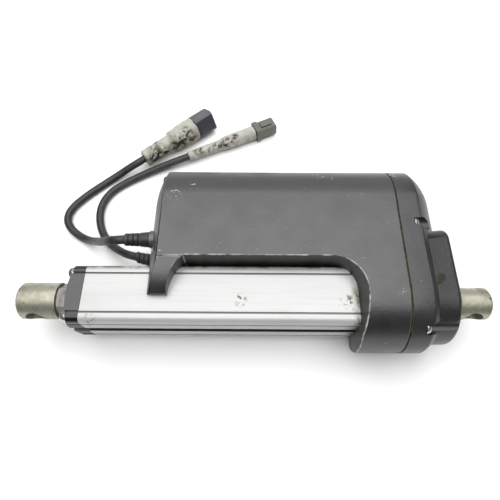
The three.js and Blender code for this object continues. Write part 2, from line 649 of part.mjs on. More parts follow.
function addRearCover() {
  const start = REAR_SEAM_X + SEAM_HALF;
  const shell = solid(alongX(shapeOf(oval(HOUSING_R)), start, 135))
    .intersect(domeSpace(REAR_DOME));
  const bossSlab = (x, { half, lowR, topY }, inset = 0) => {
    const cornerY = topY - BOSS_CORNER_R;
    const cornerZ = half - BOSS_CORNER_R;
    const cornerR = BOSS_CORNER_R - inset;
    const outline = [
      ...arc(cornerY, -cornerZ, cornerR, -90, 0, 6), ...arc(cornerY, cornerZ, cornerR, 0, 90, 6),
      corner(0, half - inset), ...arc(0, 0, lowR - inset, 96, 264, 14), corner(0, inset - half),
    ];
    return solid(alongX(shapeOf(outline), ...x));
  };
  const endX = BOSS_END.x;
  const boss = wasm.Manifold.hull([
    bossSlab([BOSS_BASE.x - 5, BOSS_BASE.x], BOSS_BASE),
    bossSlab([endX - BOSS_EDGE_R - 0.5, endX - BOSS_EDGE_R], BOSS_END),
    bossSlab([endX - 1.5, endX - 1], BOSS_END, BOSS_EDGE_R * 0.3),
    bossSlab([endX - 0.5, endX], BOSS_END, BOSS_EDGE_R),
  ]);
  const hollow = cut(
    solid(alongX(shapeOf(oval(HOUSING_R - WALL)), 90, 130))
      .intersect(domeSpace({ ...REAR_DOME, domeX: REAR_DOME.domeX - COVER_WALL })),
    [
      ...REAR_SCREWS.map(([y, z]) => moved(bar(70, 140, 5, 12), y, z)),
      alongX(shapeOf(rectangle(-40, -40, 53, 40)), 105, 140),
    ],
  );
  const holes = [bar(100, 140, REAR_EYE_R + GAP, 28)];
  for (const [y, z] of REAR_SCREWS) {
    holes.push(moved(bar(90, 140, SCREW_HOLE_R, 8), y, z));
    holes.push(moved(bar(REAR_SEAT_X, 140, HEAD_R + 0.4, 12), y, z));
  }
  const cover = cut(shell.add(boss).subtract(hollow), holes);
  place('rear_cover', geometryOf(cover), FINISH.coated);

  const seal = SEAM_HALF - 0.15;
  const band = shapeOf(oval(HOUSING_R - 0.5), oval(HOUSING_R - 3).reverse());
  const ring = alongX(band, REAR_SEAM_X - seal, REAR_SEAM_X + seal);
  const punches = REAR_SCREWS.map(([y, z]) => moved(bar(90, 110, SCREW_R + GAP, 10), y, z));
  place('rear_gasket', geometryOf(cut(solid(ring), punches)), FINISH.gasket);
  REAR_SCREWS.forEach(([y, z], i) => {
    place(`rear_cover_screw_${i + 1}`, screw(REAR_SEAT_X, 1, 24, HEAD_HEIGHT), FINISH.screwSteel, y, z);
  });

  const tip = REAR_EYE_X + EYE_REACH;
  const eye = turned([
    [100.5, 0], [100.5, 15], [104.6, 15], [104.6, REAR_EYE_R], [tip - EYE_CHAMFER, REAR_EYE_R],
    [tip, REAR_EYE_R - EYE_CHAMFER], [tip, 0],
  ], 28);
  place('rear_eye', geometryOf(cut(solid(eye), [eyeHole(REAR_EYE_X)])), FINISH.platedSteel);
}

// -- cables

/** Ribbed strain relief along -X from the front cover's hole; drift bends its tip that far to +Y. */
function bootGeometry(drift) {
  const [root, tip] = BOOT_X;
  const neck = 3.9;
  const profile = [[-67, 0], [-67, neck], [root, neck], [root, 5.7], [root - 6.5, 5.1]];
  const ribs = 3;
  const pitch = 3.6;
  for (let rib = 0; rib < ribs; rib += 1) {
    const x = root - 7.2 - rib * pitch;
    const fat = 4.9 - rib * 0.15;
    profile.push([x, fat - 0.8], [x - 0.8, fat], [x - 2.8, fat]);
  }
  profile.push([tip, 3.9], [tip, 0]);
  const boot = turned(profile.reverse(), 12);
  const spots = boot.attributes.position;
  for (let i = 0; i < spots.count; i += 1) {
    const along = Math.max(0, (root - spots.getX(i)) / (root - tip));
    spots.setY(i, spots.getY(i) + drift * along ** 2);
  }
  return boot;
}

function cableGeometry(route, radius) {
  const path = new THREE.CatmullRomCurve3(route.map((p) => new THREE.Vector3(...p)));
  const steps = Math.round(path.getLength() / (4 * radius));
  const section = shapeOf(circle(0, 0, radius, 8));
  return new THREE.ExtrudeGeometry(section, { steps, extrudePath: path, bevelEnabled: false });
}

/** A group whose +X axis is a connector's axis, starting at the end of its cable. */
function connectorFrame(route, heading) {
  const group = new THREE.Group();
  group.position.set(...route[route.length - 1]);
  group.rotation.z = heading;
  drive.add(group);
  return group;
}

function addPowerConnector() {
  const frame = connectorFrame(POWER_ROUTE, POWER_HEADING);
  const shell = turned([
    [GAP, 0], [GAP, 7.4], [28, 7.9], [30, 9.8], [54.6, 10.8], [54.6, 0],
  ], 20);
  place('power_backshell', shell, FINISH.offWhite, 0, 0, frame);
  const face = 73.5;
  const block = solid(alongX(shapeOf(chamferedRectangle(7.6, 9.1, 2.2)), 54.9, face));
  const recess = alongX(shapeOf(chamferedRectangle(5.4, 6.8, 1.6)), face - 2.5, face + 1);
  const mesh = place('power_connector', geometryOf(cut(block, [recess])), FINISH.blackPlastic, 0, 0, frame);
  mesh.rotation.x = THREE.MathUtils.degToRad(-27);
}

function addSignalConnector() {
  const frame = connectorFrame(SIGNAL_ROUTE, SIGNAL_HEADING);
  const boot = turned([
    [GAP, 0], [GAP, 4.6], [31, 4.8], [38, 6.4], [66, 6.8], [66, 0],
  ], 16);
  place('signal_sleeve', boot, FINISH.offWhite, 0, 0, frame);
  const face = 86;
  const body = join(
    alongX(shapeOf(chamferedRectangle(6.6, 5.6, 1.4)), 67, face),
    alongX(shapeOf(chamferedRectangle(7.4, 6.6, 1.6)), 66.3, 70.3),
    new THREE.BoxGeometry(10, 5, 2.2).translate(77.5, 0, 5.8),
  );
  const recess = alongX(shapeOf(chamferedRectangle(4.4, 3.6, 1)), face - 2.5, face + 1);
  place('signal_connector', geometryOf(cut(body, [recess])), FINISH.greyGreen, 0, 0, frame);
}

function addCables() {
  place('power_boot', bootGeometry(0), FINISH.rubber, POWER_EXIT.y, POWER_EXIT.z);
  place('signal_boot', bootGeometry(SIGNAL_BOOT_DRIFT), FINISH.rubber, SIGNAL_EXIT.y, SIGNAL_EXIT.z);
  place('power_cable', cableGeometry(POWER_ROUTE, CABLE_R), FINISH.rubber);
  place('signal_cable', cableGeometry(SIGNAL_ROUTE, CABLE_R), FINISH.rubber);
  addPowerConnector();
  addSignalConnector();
}

addTube();
addEndCap();
addRod();
addSpindle();
addGearTrain();
addMotor();
addHousing();
addFrontCover();
addRearCover();
addCables();

drive.position.set(0, -MOTOR_OFFSET / 2, -TABLE_Z);
const actuator = new THREE.Group();
actuator.add(drive);

export default actuator;
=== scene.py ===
"""Looks of a parallel-drive linear actuator, built round its shared frame.

Shapes are worked out in the drive frame, in millimetres: the origin is on the spindle axis midway between
the mounting eyes, +X runs to the rear eye, +Y to the motor and +Z up. at() turns that into row metres.
"""

import json
import math

import bmesh
import bpy
from mathutils import Matrix, Vector, noise


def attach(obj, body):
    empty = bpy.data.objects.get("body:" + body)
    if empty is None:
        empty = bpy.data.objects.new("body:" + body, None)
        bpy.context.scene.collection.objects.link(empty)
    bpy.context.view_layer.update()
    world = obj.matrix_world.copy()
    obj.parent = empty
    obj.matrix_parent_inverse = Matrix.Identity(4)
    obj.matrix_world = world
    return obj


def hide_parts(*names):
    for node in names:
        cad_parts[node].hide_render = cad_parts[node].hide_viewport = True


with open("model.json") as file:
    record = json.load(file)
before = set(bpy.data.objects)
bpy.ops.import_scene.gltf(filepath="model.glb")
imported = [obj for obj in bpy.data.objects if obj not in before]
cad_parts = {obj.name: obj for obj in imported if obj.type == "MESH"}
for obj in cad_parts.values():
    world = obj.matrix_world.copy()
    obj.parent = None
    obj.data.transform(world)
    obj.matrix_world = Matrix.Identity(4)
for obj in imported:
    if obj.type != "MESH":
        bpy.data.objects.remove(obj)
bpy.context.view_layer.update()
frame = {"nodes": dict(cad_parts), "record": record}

# ---- driving dimensions, mm

MM = 0.001
GAP = 0.3
EYE_X = 150.0
EYE_REACH = 11.0
EYE_HOLE_R = 6.45
EYE_EDGE = 1.6
ROD_EYE_R = 12.7
REAR_EYE_R = 11.0
REAR_FLANGE_R = 15.0
REAR_FLANGE_X = (100.5, 104.6)

# Tube, end cap and rod.
TUBE_HALF = 20.0
TUBE_CORNER_R = 4.5
TUBE_BORE_R = 15.0
TUBE_X = (-113.0, 71.0)
# Grooves are given as (width, depth).
GROOVE_AT = 13.4
GROOVE = (1.2, 0.8)
CAP_GROOVE = (1.9, 1.4)
SLOT_HALF = 4.0
SLOT_DEPTH = 3.0
CAP_SCREW_AT = 15.2
CAP_TIP_X = -127.2
CAP_DOME_R = 60.0
CAP_BORE_R = 13.6
CAP_SEAT_X = -121.2
WIPER_X = (-125.2, -121.0)
ROD_R = 11.0
ROD_BORE_R = 8.0
ROD_X = (-126.0, 36.0)
ROD_STUD_X = (-134.0, -110.0)
NUT_X = (-133.7, -126.3)
NUT_FACE_R = 11.0
NUT_ROUND_R = 12.9
NUT_CORNER_R = 12.6

# Housing and covers.
MOTOR_OFFSET = 67.5
HOUSING_R = 34.0
WALL = 4.0
FRONT_SEAM_X = -64.0
REAR_SEAM_X = 97.4
SEAM_HALF = 0.4
LEDGE_Y = 21.0
GEARBOX_FRONT_X = 68.0
CUTOUT_R = 18.0
CUTOUT_DRAFT = 3.3
BULKHEAD_X = (72.0, 78.0)
SEAT_R = 14.3
ROTOR_HOLE_R = 9.5
AXLE_Y = 41.25
AXLE_R = 3.0
FOOT_Y = -2.2
FOOT_X = -57.0
FOOT_EDGE_R = 31.0
FOOT_BACK_R = 32.5
FOOT_STEP = 0.5
FOOT_TOP_Y = 20.6
FOOT_SEAM_X = -68.0
COVER_WALL = 3.2
COVER_CORNER_R = 2.4
PAD_R = 6.3
FRONT_DOME_X = -16.1
FRONT_DOME_R = 58.0
REAR_DOME_X = 89.0
REAR_DOME_R = 40.5
# The boss at its base and its end, as (x, half width, reach at the bottom, y of the top).
BOSS_BASE = (109.0, 31.2, 28.4, 43.5)
BOSS_END = (131.0, 29.8, 28.0, 45.8)
BOSS_CORNER_R = 10.0
BOSS_EDGE_R = 3.0
MOTOR_BAY_R = 30.0
PLAN_HIGH_Y = 110.0
PLAN_LOW_Y = -40.0
ROUND_STEPS = 48

# Screws: where they are as (y, z), the posts they go into and their heads.
CAP_SCREWS = [(y * CAP_SCREW_AT, z * CAP_SCREW_AT) for y in (-1, 1) for z in (-1, 1)]
REAR_SCREWS = [(46.6, 30.6), (46.6, -30.6), (-22.6, 21.2), (-22.6, -21.2)]
FRONT_SCREWS = [(29, 26), (29, -26), (86.6, 19.1), (86.6, -19.1)]
REAR_SEAT_X = 107.0
FRONT_SEAT_X = -65.5
REAR_HOLE_END_X = 82.0
FRONT_HOLE_END_X = -55.0
FRONT_POST_END_X = -55.6
REAR_POST_R = 5.0
FRONT_POST_R = 4.6
COVER_POST_R = 6.8
SCREW_R = 1.9
SCREW_HOLE_R = 2.3
HEAD_R = 4.0
HEAD_HEIGHT = 3.0
CAP_HEAD_HEIGHT = 4.2
LOW_HEAD_HEIGHT = 1.6
REAR_POCKET_R = HEAD_R + 0.4
FRONT_POCKET_R = HEAD_R + 0.6

# Cables: exits as (y, z), headings of the connectors, and routes given from boot to connector.
CABLE_R = 3.2
CABLE_TUCK = 3.0
CABLE_HOLE_R = 4.2
POWER_EXIT = (40.7, 15.0)
SIGNAL_EXIT = (39.0, -18.5)
SIGNAL_BOOT_DRIFT = 3.0
# The boots: their front and tip, and the root inside the cover as (x, radius).
BOOT_X = (-73.7, -92.0)
BOOT_ROOT = (-67.0, 3.9)
POWER_HEADING = math.atan2(0.637, 0.77)
SIGNAL_HEADING = math.atan2(0.428, 0.904)
POWER_ROLL = math.radians(-27)
POWER_ROUTE = [
    (-92.3, 40.7, 15), (-97, 40.5, 14.8), (-102.5, 41.4, 12.2), (-108.5, 43.6, 6.4), (-114.5, 47.2, -1.8),
    (-120.5, 51.4, -10.8), (-126.5, 55.6, -19), (-133, 59.4, -25.8), (-140, 63, -29.8),
    (-147.3, 67.4, -30.7), (-153.8, 73, -30.7), (-158, 80, -30.7), (-158.3, 87.4, -30.7),
    (-155.2, 94.6, -30.7), (-149.6, 101.6, -30.7), (-141, 110.2, -30.7), (-130.4, 119.4, -30.6),
    (-119.4, 127.2, -28.8), (-110.4, 131.8, -25.4), (-103.6, 135.1, -23.2), (-98.2, 139.6, -23.2),
]
SIGNAL_ROUTE = [
    (-93.4, 42.4, -18.5), (-97.2, 43.6, -19), (-102, 45.7, -20.6), (-108.2, 49.6, -23), (-114.8, 54.9, -26),
    (-121, 61.3, -28.8), (-126.5, 69.2, -30.5), (-130, 77.6, -30.7), (-131.7, 86.4, -30.7),
    (-131.5, 94.6, -30.7), (-128.6, 103.6, -30.7), (-122.4, 112, -30.7), (-112.6, 119.6, -30.6),
    (-100.4, 126.8, -30.2), (-88, 133, -29.2), (-76.5, 137.8, -27.8), (-67, 141.75, -27),
    (-60, 145.06, -27),
]

# Spots of wear and grime, as (x, y, z, radius).
SCUFFS = [
    (-55, 67, 34, 7), (-44, 75, 33, 5), (47, 88, 28, 7), (52, 84, 30, 6),
    (100, 89, 27, 6), (91, -2, 33, 4), (-61, 22, 34, 4),
]
SMUDGES = [(119, 8, 30, 5), (117, 4, 30, 4)]
TUBE_MARKS = [(-9, -5, 20, 5.5), (80, 0, 20, 3), (61, -6, 20, 7), (-105, -17, 18, 5), (-107, -20, 12, 3)]
POWER_GRIME = [
    (-89, 148, -22, 11), (-90, 140, -22, 9), (-82, 143, -22, 12), (-70, 156, -23, 12),
    (-64, 154, -22, 13), (-58, 158, -22, 11), (-62, 163, -18, 9),
]
SIGNAL_GRIME = [
    (-24, 156, -21, 9), (-29, 153, -21, 8), (-46, 145, -23, 6), (-51, 149, -22, 6), (-38, 148, -22, 7),
    (-33, 152, -21, 8), (-18, 163, -20, 5),
]

# Edges with a sharper turn than this, in degrees, are shaded as edges.
SHADE_ANGLE = 42

# Where the camera stands, and its tilt from straight down, turn and roll in degrees.
CAMERA_AT = (-1.66, -86.33, 275.69)
CAMERA_ANGLES = (24.63, 0.68, -0.28)
CAMERA_LENS = 29.55
CAMERA_SENSOR = 36

TO_ROW = Matrix.Diagonal((MM, MM, MM, 1)) @ Matrix.Translation((0, -MOTOR_OFFSET / 2, HOUSING_R))


def at(x, y, z):
    """A point of the drive frame in the row frame, in metres."""
    return TO_ROW @ Vector((x, y, z))


def level(axis, value):
    """The row coordinate, in metres, of a drive coordinate along x, y or z."""
    return getattr(at(value, value, value), axis)


def linked(name, data):
    """A new object of the scene, made from its data."""
    made = bpy.data.objects.new(name, data)
    bpy.context.scene.collection.objects.link(made)
    return made


# ---- camera

def add_camera():
    """The camera stands above the tube's side of the object, looking down at it."""
    tilt, turn, roll = (math.radians(angle) for angle in CAMERA_ANGLES)
    data = bpy.data.cameras.new("camera")
    data.sensor_width = CAMERA_SENSOR
    data.lens = CAMERA_LENS
    camera = linked("camera", data)
    facing = Matrix.Rotation(turn, 4, "Z") @ Matrix.Rotation(tilt, 4, "X") @ Matrix.Rotation(roll, 4, "Z")
    camera.matrix_world = Matrix.Translation(at(*CAMERA_AT)) @ facing
    bpy.context.scene.camera = camera


add_camera()

# ---- materials


def scaled(color, factor):
    return [c * factor for c in color]


class Surface:
    """A node material on Principled BSDF; each call adds one layer to its colour, gloss or bump."""

    def __init__(self, name, color, roughness, metallic=0.0):
        self.material = bpy.data.materials.new(name)
        self.material.use_nodes = True
        self.tree = self.material.node_tree
        self.shader = self.tree.nodes["Principled BSDF"]
        self.shader.inputs["Base Color"].default_value = (*color, 1)
        self.shader.inputs["Roughness"].default_value = roughness
        self.shader.inputs["Metallic"].default_value = metallic
        self.material.diffuse_color = (*color, 1)
        self.place = self.node("ShaderNodeTexCoord").outputs["Object"]

    def feed(self, socket, value):
        if isinstance(value, bpy.types.NodeSocket):
            self.tree.links.new(value, socket)
        else:
            socket.default_value = value

    def node(self, kind, inputs=None, **settings):
        """Adds a node, with its own settings, and feeds its inputs, by name or number."""
        made = self.tree.nodes.new(kind)
        for key, value in settings.items():
            setattr(made, key, value)
        for key, value in (inputs or {}).items():
            self.feed(made.inputs[key], value)
        return made

    def current(self, name):
        """What the shader takes for one of its inputs: the node linked to it, or its own value."""
        socket = self.shader.inputs[name]
        return socket.links[0].from_socket if socket.links else socket.default_value

    def noise(self, scale, detail, stretch=(1, 1, 1), shift=(0, 0, 0)):
        """Noise with about scale features to the metre, from 0 to 1, and stretched along an axis."""
        inputs = {"Vector": self.place, "Scale": stretch, "Location": shift}
        vector = self.node("ShaderNodeMapping", inputs).outputs["Vector"]
        inputs = {"Vector": vector, "Scale": scale, "Detail": detail}
        return self.node("ShaderNodeTexNoise", inputs).outputs["Fac"]

    def ramp(self, value, low, high, out_low=0.0, out_high=1.0):
        """From out_low to out_high as value goes from low to high."""
        inputs = {"Value": value, "From Min": low, "From Max": high, "To Min": out_low, "To Max": out_high}
        return self.node("ShaderNodeMapRange", inputs, interpolation_type="SMOOTHSTEP").outputs["Result"]

    def patches(self, scale, detail, low, high, amount=1.0, shift=(0, 0, 0)):
        """From 0 to amount as noise of that scale goes from low to high."""
        return self.ramp(self.noise(scale, detail, shift=shift), low, high, 0, amount)

    def math(self, operation, a, b):
        return self.node("ShaderNodeMath", {0: a, 1: b}, operation=operation).outputs[0]

    def both(self, a, b):
        return self.math("MULTIPLY", a, b)

    def either(self, a, b):
        return self.math("MAXIMUM", a, b)

    def apart(self, a, b):
        """The difference between two values, never negative."""
        return self.math("ABSOLUTE", self.math("SUBTRACT", a, b), 0.0)

    def along(self, axis):
        """The row coordinate along x, y or z, in metres."""
        return self.node("ShaderNodeSeparateXYZ", {0: self.place}).outputs["xyz".index(axis)]

    def off(self, axis, plane=0.0):
        """Distance in metres from the plane at that drive coordinate."""
        return self.apart(self.along(axis), level(axis, plane))

    def rise(self, axis, low, high):
        """From 0 at drive coordinate low to 1 at high."""
        return self.ramp(self.along(axis), level(axis, low), level(axis, high))

    def within(self, distance, near, far, out_near=1.0, out_far=0.0):
        """Ramps a distance in metres between two limits in millimetres."""
        return self.ramp(distance, near * MM, far * MM, out_near, out_far)

    def near(self, spots):
        """1 within each spot (x, y, z, radius), in drive millimetres, fading to 0 at its radius."""
        found = 0.0
        for x, y, z, radius in spots:
            inputs = {0: self.place, 1: at(x, y, z)}
            distance = self.node("ShaderNodeVectorMath", inputs, operation="DISTANCE").outputs["Value"]
            found = self.either(self.within(distance, radius * 0.35, radius), found)
        return found

    def tint(self, factor, color):
        """Mixes colour into the base colour by factor."""
        inputs = {"Factor": factor, 6: self.current("Base Color"), 7: (*color, 1)}
        mix = self.node("ShaderNodeMix", inputs, data_type="RGBA")
        self.feed(self.shader.inputs["Base Color"], mix.outputs[2])

    def gloss(self, value, low, high):
        """Roughness from low to high as value goes from 0 to 1."""
        self.feed(self.shader.inputs["Roughness"], self.ramp(value, 0.25, 0.75, low, high))

    def dull(self, factor, roughness):
        """Takes roughness to one value, and metal to none, where factor is 1."""
        inputs = {0: factor, 2: self.current("Roughness"), 3: roughness}
        mix = self.node("ShaderNodeMix", inputs, data_type="FLOAT")
        self.feed(self.shader.inputs["Roughness"], mix.outputs[0])
        metal = self.shader.inputs["Metallic"]
        if metal.default_value > 0 or metal.links:
            left = self.math("SUBTRACT", 1.0, factor)
            self.feed(metal, self.both(left, self.current("Metallic")))

    def bump(self, value, depth):
        """Relief of that depth in millimetres; each call stacks on the last."""
        inputs = {"Distance": depth * MM, "Height": value, "Normal": self.current("Normal")}
        self.feed(self.shader.inputs["Normal"], self.node("ShaderNodeBump", inputs).outputs["Normal"])


def coating(name, color, worn=0.0, ior=1.7):
    """Dark grey powder coat with a fine pebbled texture; worn lets pale metal through on edges."""
    paint = Surface(name, color, 0.45)
    paint.shader.inputs["IOR"].default_value = ior
    grain = paint.noise(560, 4)
    cloud = paint.noise(60, 5)
    pores = paint.noise(700, 2, shift=(3, 1, 2))
    paint.tint(paint.ramp(cloud, 0.3, 0.75, 0, 0.45), scaled(color, 1.5))
    paint.tint(paint.ramp(grain, 0.42, 0.7, 0, 0.34), scaled(color, 2.3))
    paint.tint(paint.ramp(pores, 0.6, 0.72, 0, 0.3), scaled(color, 0.5))
    chips = paint.patches(520, 4, 0.6, 0.66, shift=(5, 0, 0))
    paint.tint(paint.both(chips, paint.near(SCUFFS)), (0.5, 0.5, 0.48))
    specks = paint.patches(330, 3, 0.735, 0.76, 0.5, shift=(0, 7, 0))
    paint.tint(specks, (0.25, 0.25, 0.24))
    if worn:
        rubbed = paint.ramp(paint.noise(190, 4, shift=(0, 0, 4)), 0.62 - worn, 0.74)
        rubbed = paint.both(rubbed, paint.rise("x", FRONT_SEAM_X, FRONT_SEAM_X + 3))
        rubbed = paint.both(rubbed, paint.rise("x", REAR_SEAM_X, REAR_SEAM_X - 3))
        paint.tint(rubbed, (0.5, 0.5, 0.49))
    seam = paint.within(paint.off("x", REAR_SEAM_X), 0.3, 0.9)
    caked = paint.both(seam, paint.patches(420, 4, 0.48, 0.53, shift=(9, 0, 0)))
    paint.tint(caked, (0.12, 0.105, 0.045))
    smeared = paint.patches(240, 4, 0.42, 0.52, shift=(2, 2, 0))
    smudge = paint.both(paint.near(SMUDGES), smeared)
    paint.tint(smudge, (0.02, 0.018, 0.007))
    shine = paint.math("SUBTRACT", 0.5, paint.both(seam, 0.42))
    paint.feed(paint.shader.inputs["Specular IOR Level"], shine)
    paint.gloss(cloud, 0.34, 0.44)
    paint.dull(paint.either(caked, smudge), 0.95)
    paint.bump(grain, 0.1)
    return paint.material


def anodised(name):
    """Satin silver extrusion: faint lines along X; dark olive grime and painted shade where the housing
    overhangs it, and painted shade in its grooves and slot.
    """
    metal = Surface(name, (0.46, 0.464, 0.458), 0.36, 0.2)
    lines = metal.noise(900, 2, stretch=(0.02, 1, 1))
    metal.tint(metal.ramp(lines, 0.35, 0.7, 0, 0.12), (0.3, 0.305, 0.3))
    patch = metal.noise(60, 4, stretch=(0.4, 1, 1))
    metal.tint(metal.ramp(patch, 0.5, 0.8, 0, 0.2), (0.3, 0.305, 0.28))
    # Painted shade and grime: dark olive under the housing's ledge and in front of the gearbox wall, broken
    # up by noise.
    under_ledge = metal.both(metal.rise("y", 15.2, 19.6), metal.rise("z", 12, 17))
    shade = metal.either(under_ledge, metal.rise("x", GEARBOX_FRONT_X - 5.5, GEARBOX_FRONT_X))
    broken = metal.ramp(metal.noise(170, 5), 0.36, 0.62, 0.25, 1)
    shade_and_grime = metal.both(shade, broken)
    metal.tint(shade_and_grime, (0.075, 0.07, 0.03))
    for across, up in (("y", "z"), ("z", "y")):
        side, outward = metal.off(across), metal.off(up)
        # Painted shade: the grooves are darkened near the outer face.
        groove = metal.within(metal.apart(side, GROOVE_AT * MM), GROOVE[0] / 2, 0.85)
        outer = metal.within(outward, TUBE_HALF - 1.5, TUBE_HALF - 1, 0, 0.8)
        metal.tint(metal.both(groove, outer), (0.05, 0.052, 0.045))
        if across == "z":
            # Painted shade: the inside of the slot, walls and floor, is darkened.
            slot_shade = metal.within(side, SLOT_HALF + 0.1, SLOT_HALF + 0.3)
            slot_shade = metal.both(slot_shade, metal.within(outward, TUBE_HALF - 0.4, TUBE_HALF - 0.1))
            off_floor = metal.within(outward, TUBE_HALF - 3.5, TUBE_HALF - 3.2, 0, 1)
            metal.tint(metal.both(slot_shade, off_floor), (0.02, 0.02, 0.018))
    mottled = metal.patches(420, 4, 0.5, 0.6)
    stain = metal.both(metal.near(TUBE_MARKS), mottled)
    metal.tint(stain, (0.14, 0.12, 0.08))
    pits = metal.patches(240, 3, 0.745, 0.77, 0.8, shift=(0, 3, 0))
    metal.tint(pits, (0.12, 0.115, 0.1))
    metal.gloss(lines, 0.3, 0.38)
    metal.dull(metal.either(shade_and_grime, stain), 0.7)
    metal.bump(lines, 0.006)
    return metal.material


def moulded(name, color, rough=0.48, pebble=0.05):
    """Moulded plastic with a fine spark-eroded texture, dusty in patches."""
    plastic = Surface(name, color, rough)
    fine = plastic.noise(1500, 2)
    dust = plastic.noise(90, 5)
    plastic.tint(plastic.ramp(fine, 0.4, 0.7, 0, 0.4), [min(1, c * 1.9 + 0.004) for c in color])
    plastic.tint(plastic.ramp(dust, 0.45, 0.75, 0, 0.2), (0.13, 0.125, 0.11))
    plastic.gloss(dust, rough - 0.1, rough + 0.12)
    plastic.bump(fine, pebble)
    return plastic.material


def beaded_plastic(name):
    """Matt dark plastic, with smooth black beads along its four corners."""
    plastic = Surface(name, (0.08, 0.08, 0.08), 0.6)
    plastic.tint(plastic.patches(700, 3, 0.45, 0.65, 0.5), (0.11, 0.11, 0.11))
    beside = [plastic.within(plastic.off(axis), 12.2, 12.8, 0, 1) for axis in "yz"]
    bead = plastic.both(*beside)
    plastic.tint(bead, (0.006, 0.006, 0.0065))
    plastic.dull(bead, 0.22)
    plastic.bump(plastic.noise(1100, 2), 0.03)
    return plastic.material


def rubber(name):
    """Black rubber, rubbed a little grey, with a dusty bloom."""
    skin = Surface(name, (0.016, 0.016, 0.018), 0.55)
    bloom = skin.noise(150, 5)
    skin.tint(skin.ramp(bloom, 0.4, 0.72, 0, 0.5), (0.05, 0.05, 0.053))
    skin.tint(skin.patches(700, 3, 0.62, 0.75, 0.5), (0.1, 0.098, 0.09))
    skin.gloss(bloom, 0.4, 0.62)
    skin.bump(skin.noise(900, 3), 0.04)
    return skin.material


def tarnished(name):
    """Zinc-plated steel gone dull and yellowish, with turning marks round X and brown spots."""
    steel = Surface(name, (0.4, 0.39, 0.315), 0.4, 0.75)
    rings = steel.noise(900, 2, stretch=(1, 0.06, 0.06))
    cloud = steel.noise(120, 5)
    steel.tint(steel.ramp(cloud, 0.38, 0.68), (0.26, 0.25, 0.185))
    steel.tint(steel.patches(420, 4, 0.45, 0.75, 0.7, shift=(2, 0, 0)), (0.43, 0.425, 0.37))
    spots = steel.patches(190, 3, 0.64, 0.71, shift=(0, 6, 1))
    steel.tint(spots, (0.07, 0.05, 0.02))
    steel.gloss(cloud, 0.36, 0.5)
    steel.dull(steel.both(spots, 0.7), 0.75)
    steel.bump(rings, 0.02)
    steel.bump(cloud, 0.05)
    return steel.material


def bright_metal(name, color, roughness, lines=(1, 1, 1), stain=(0.3, 0.27, 0.2), amount=0.35):
    """Machined metal with fine tool marks and a light stain."""
    metal = Surface(name, color, roughness, 1.0)
    marks = metal.noise(1100, 2, stretch=lines)
    cloud = metal.noise(180, 4)
    metal.tint(metal.ramp(cloud, 0.5, 0.8, 0, amount), stain)
    metal.gloss(marks, roughness * 0.8, roughness * 1.25)
    metal.bump(marks, 0.008)
    return metal.material


def grimy_sleeve(name, color, spots):
    """Off-white tape-like sleeve with wrinkles, brown and black grime caked on round the spots, and browner
    towards its bottom.
    """
    sleeve = Surface(name, color, 0.5)
    cloud = sleeve.noise(75, 5)
    speck = sleeve.noise(260, 5, shift=(1, 4, 0))
    near = sleeve.near(spots)
    sleeve.tint(sleeve.ramp(cloud, 0.4, 0.7, 0, 0.5), scaled(color, 0.72))
    # Darker and browner towards the bottom of the sleeve.
    low = sleeve.ramp(sleeve.along("z"), 0.006, 0.013, 0.6, 0)
    film = sleeve.both(sleeve.either(near, low), sleeve.ramp(speck, 0.38, 0.6))
    sleeve.tint(film, (0.13, 0.105, 0.055))
    black = sleeve.patches(300, 4, 0.47, 0.56, shift=(6, 0, 2))
    sleeve.tint(sleeve.both(near, black), (0.012, 0.01, 0.006))
    sleeve.gloss(cloud, 0.4, 0.6)
    sleeve.bump(sleeve.noise(130, 3, shift=(0, 0, 8)), 0.5)
    sleeve.bump(speck, 0.12)
    return sleeve.material


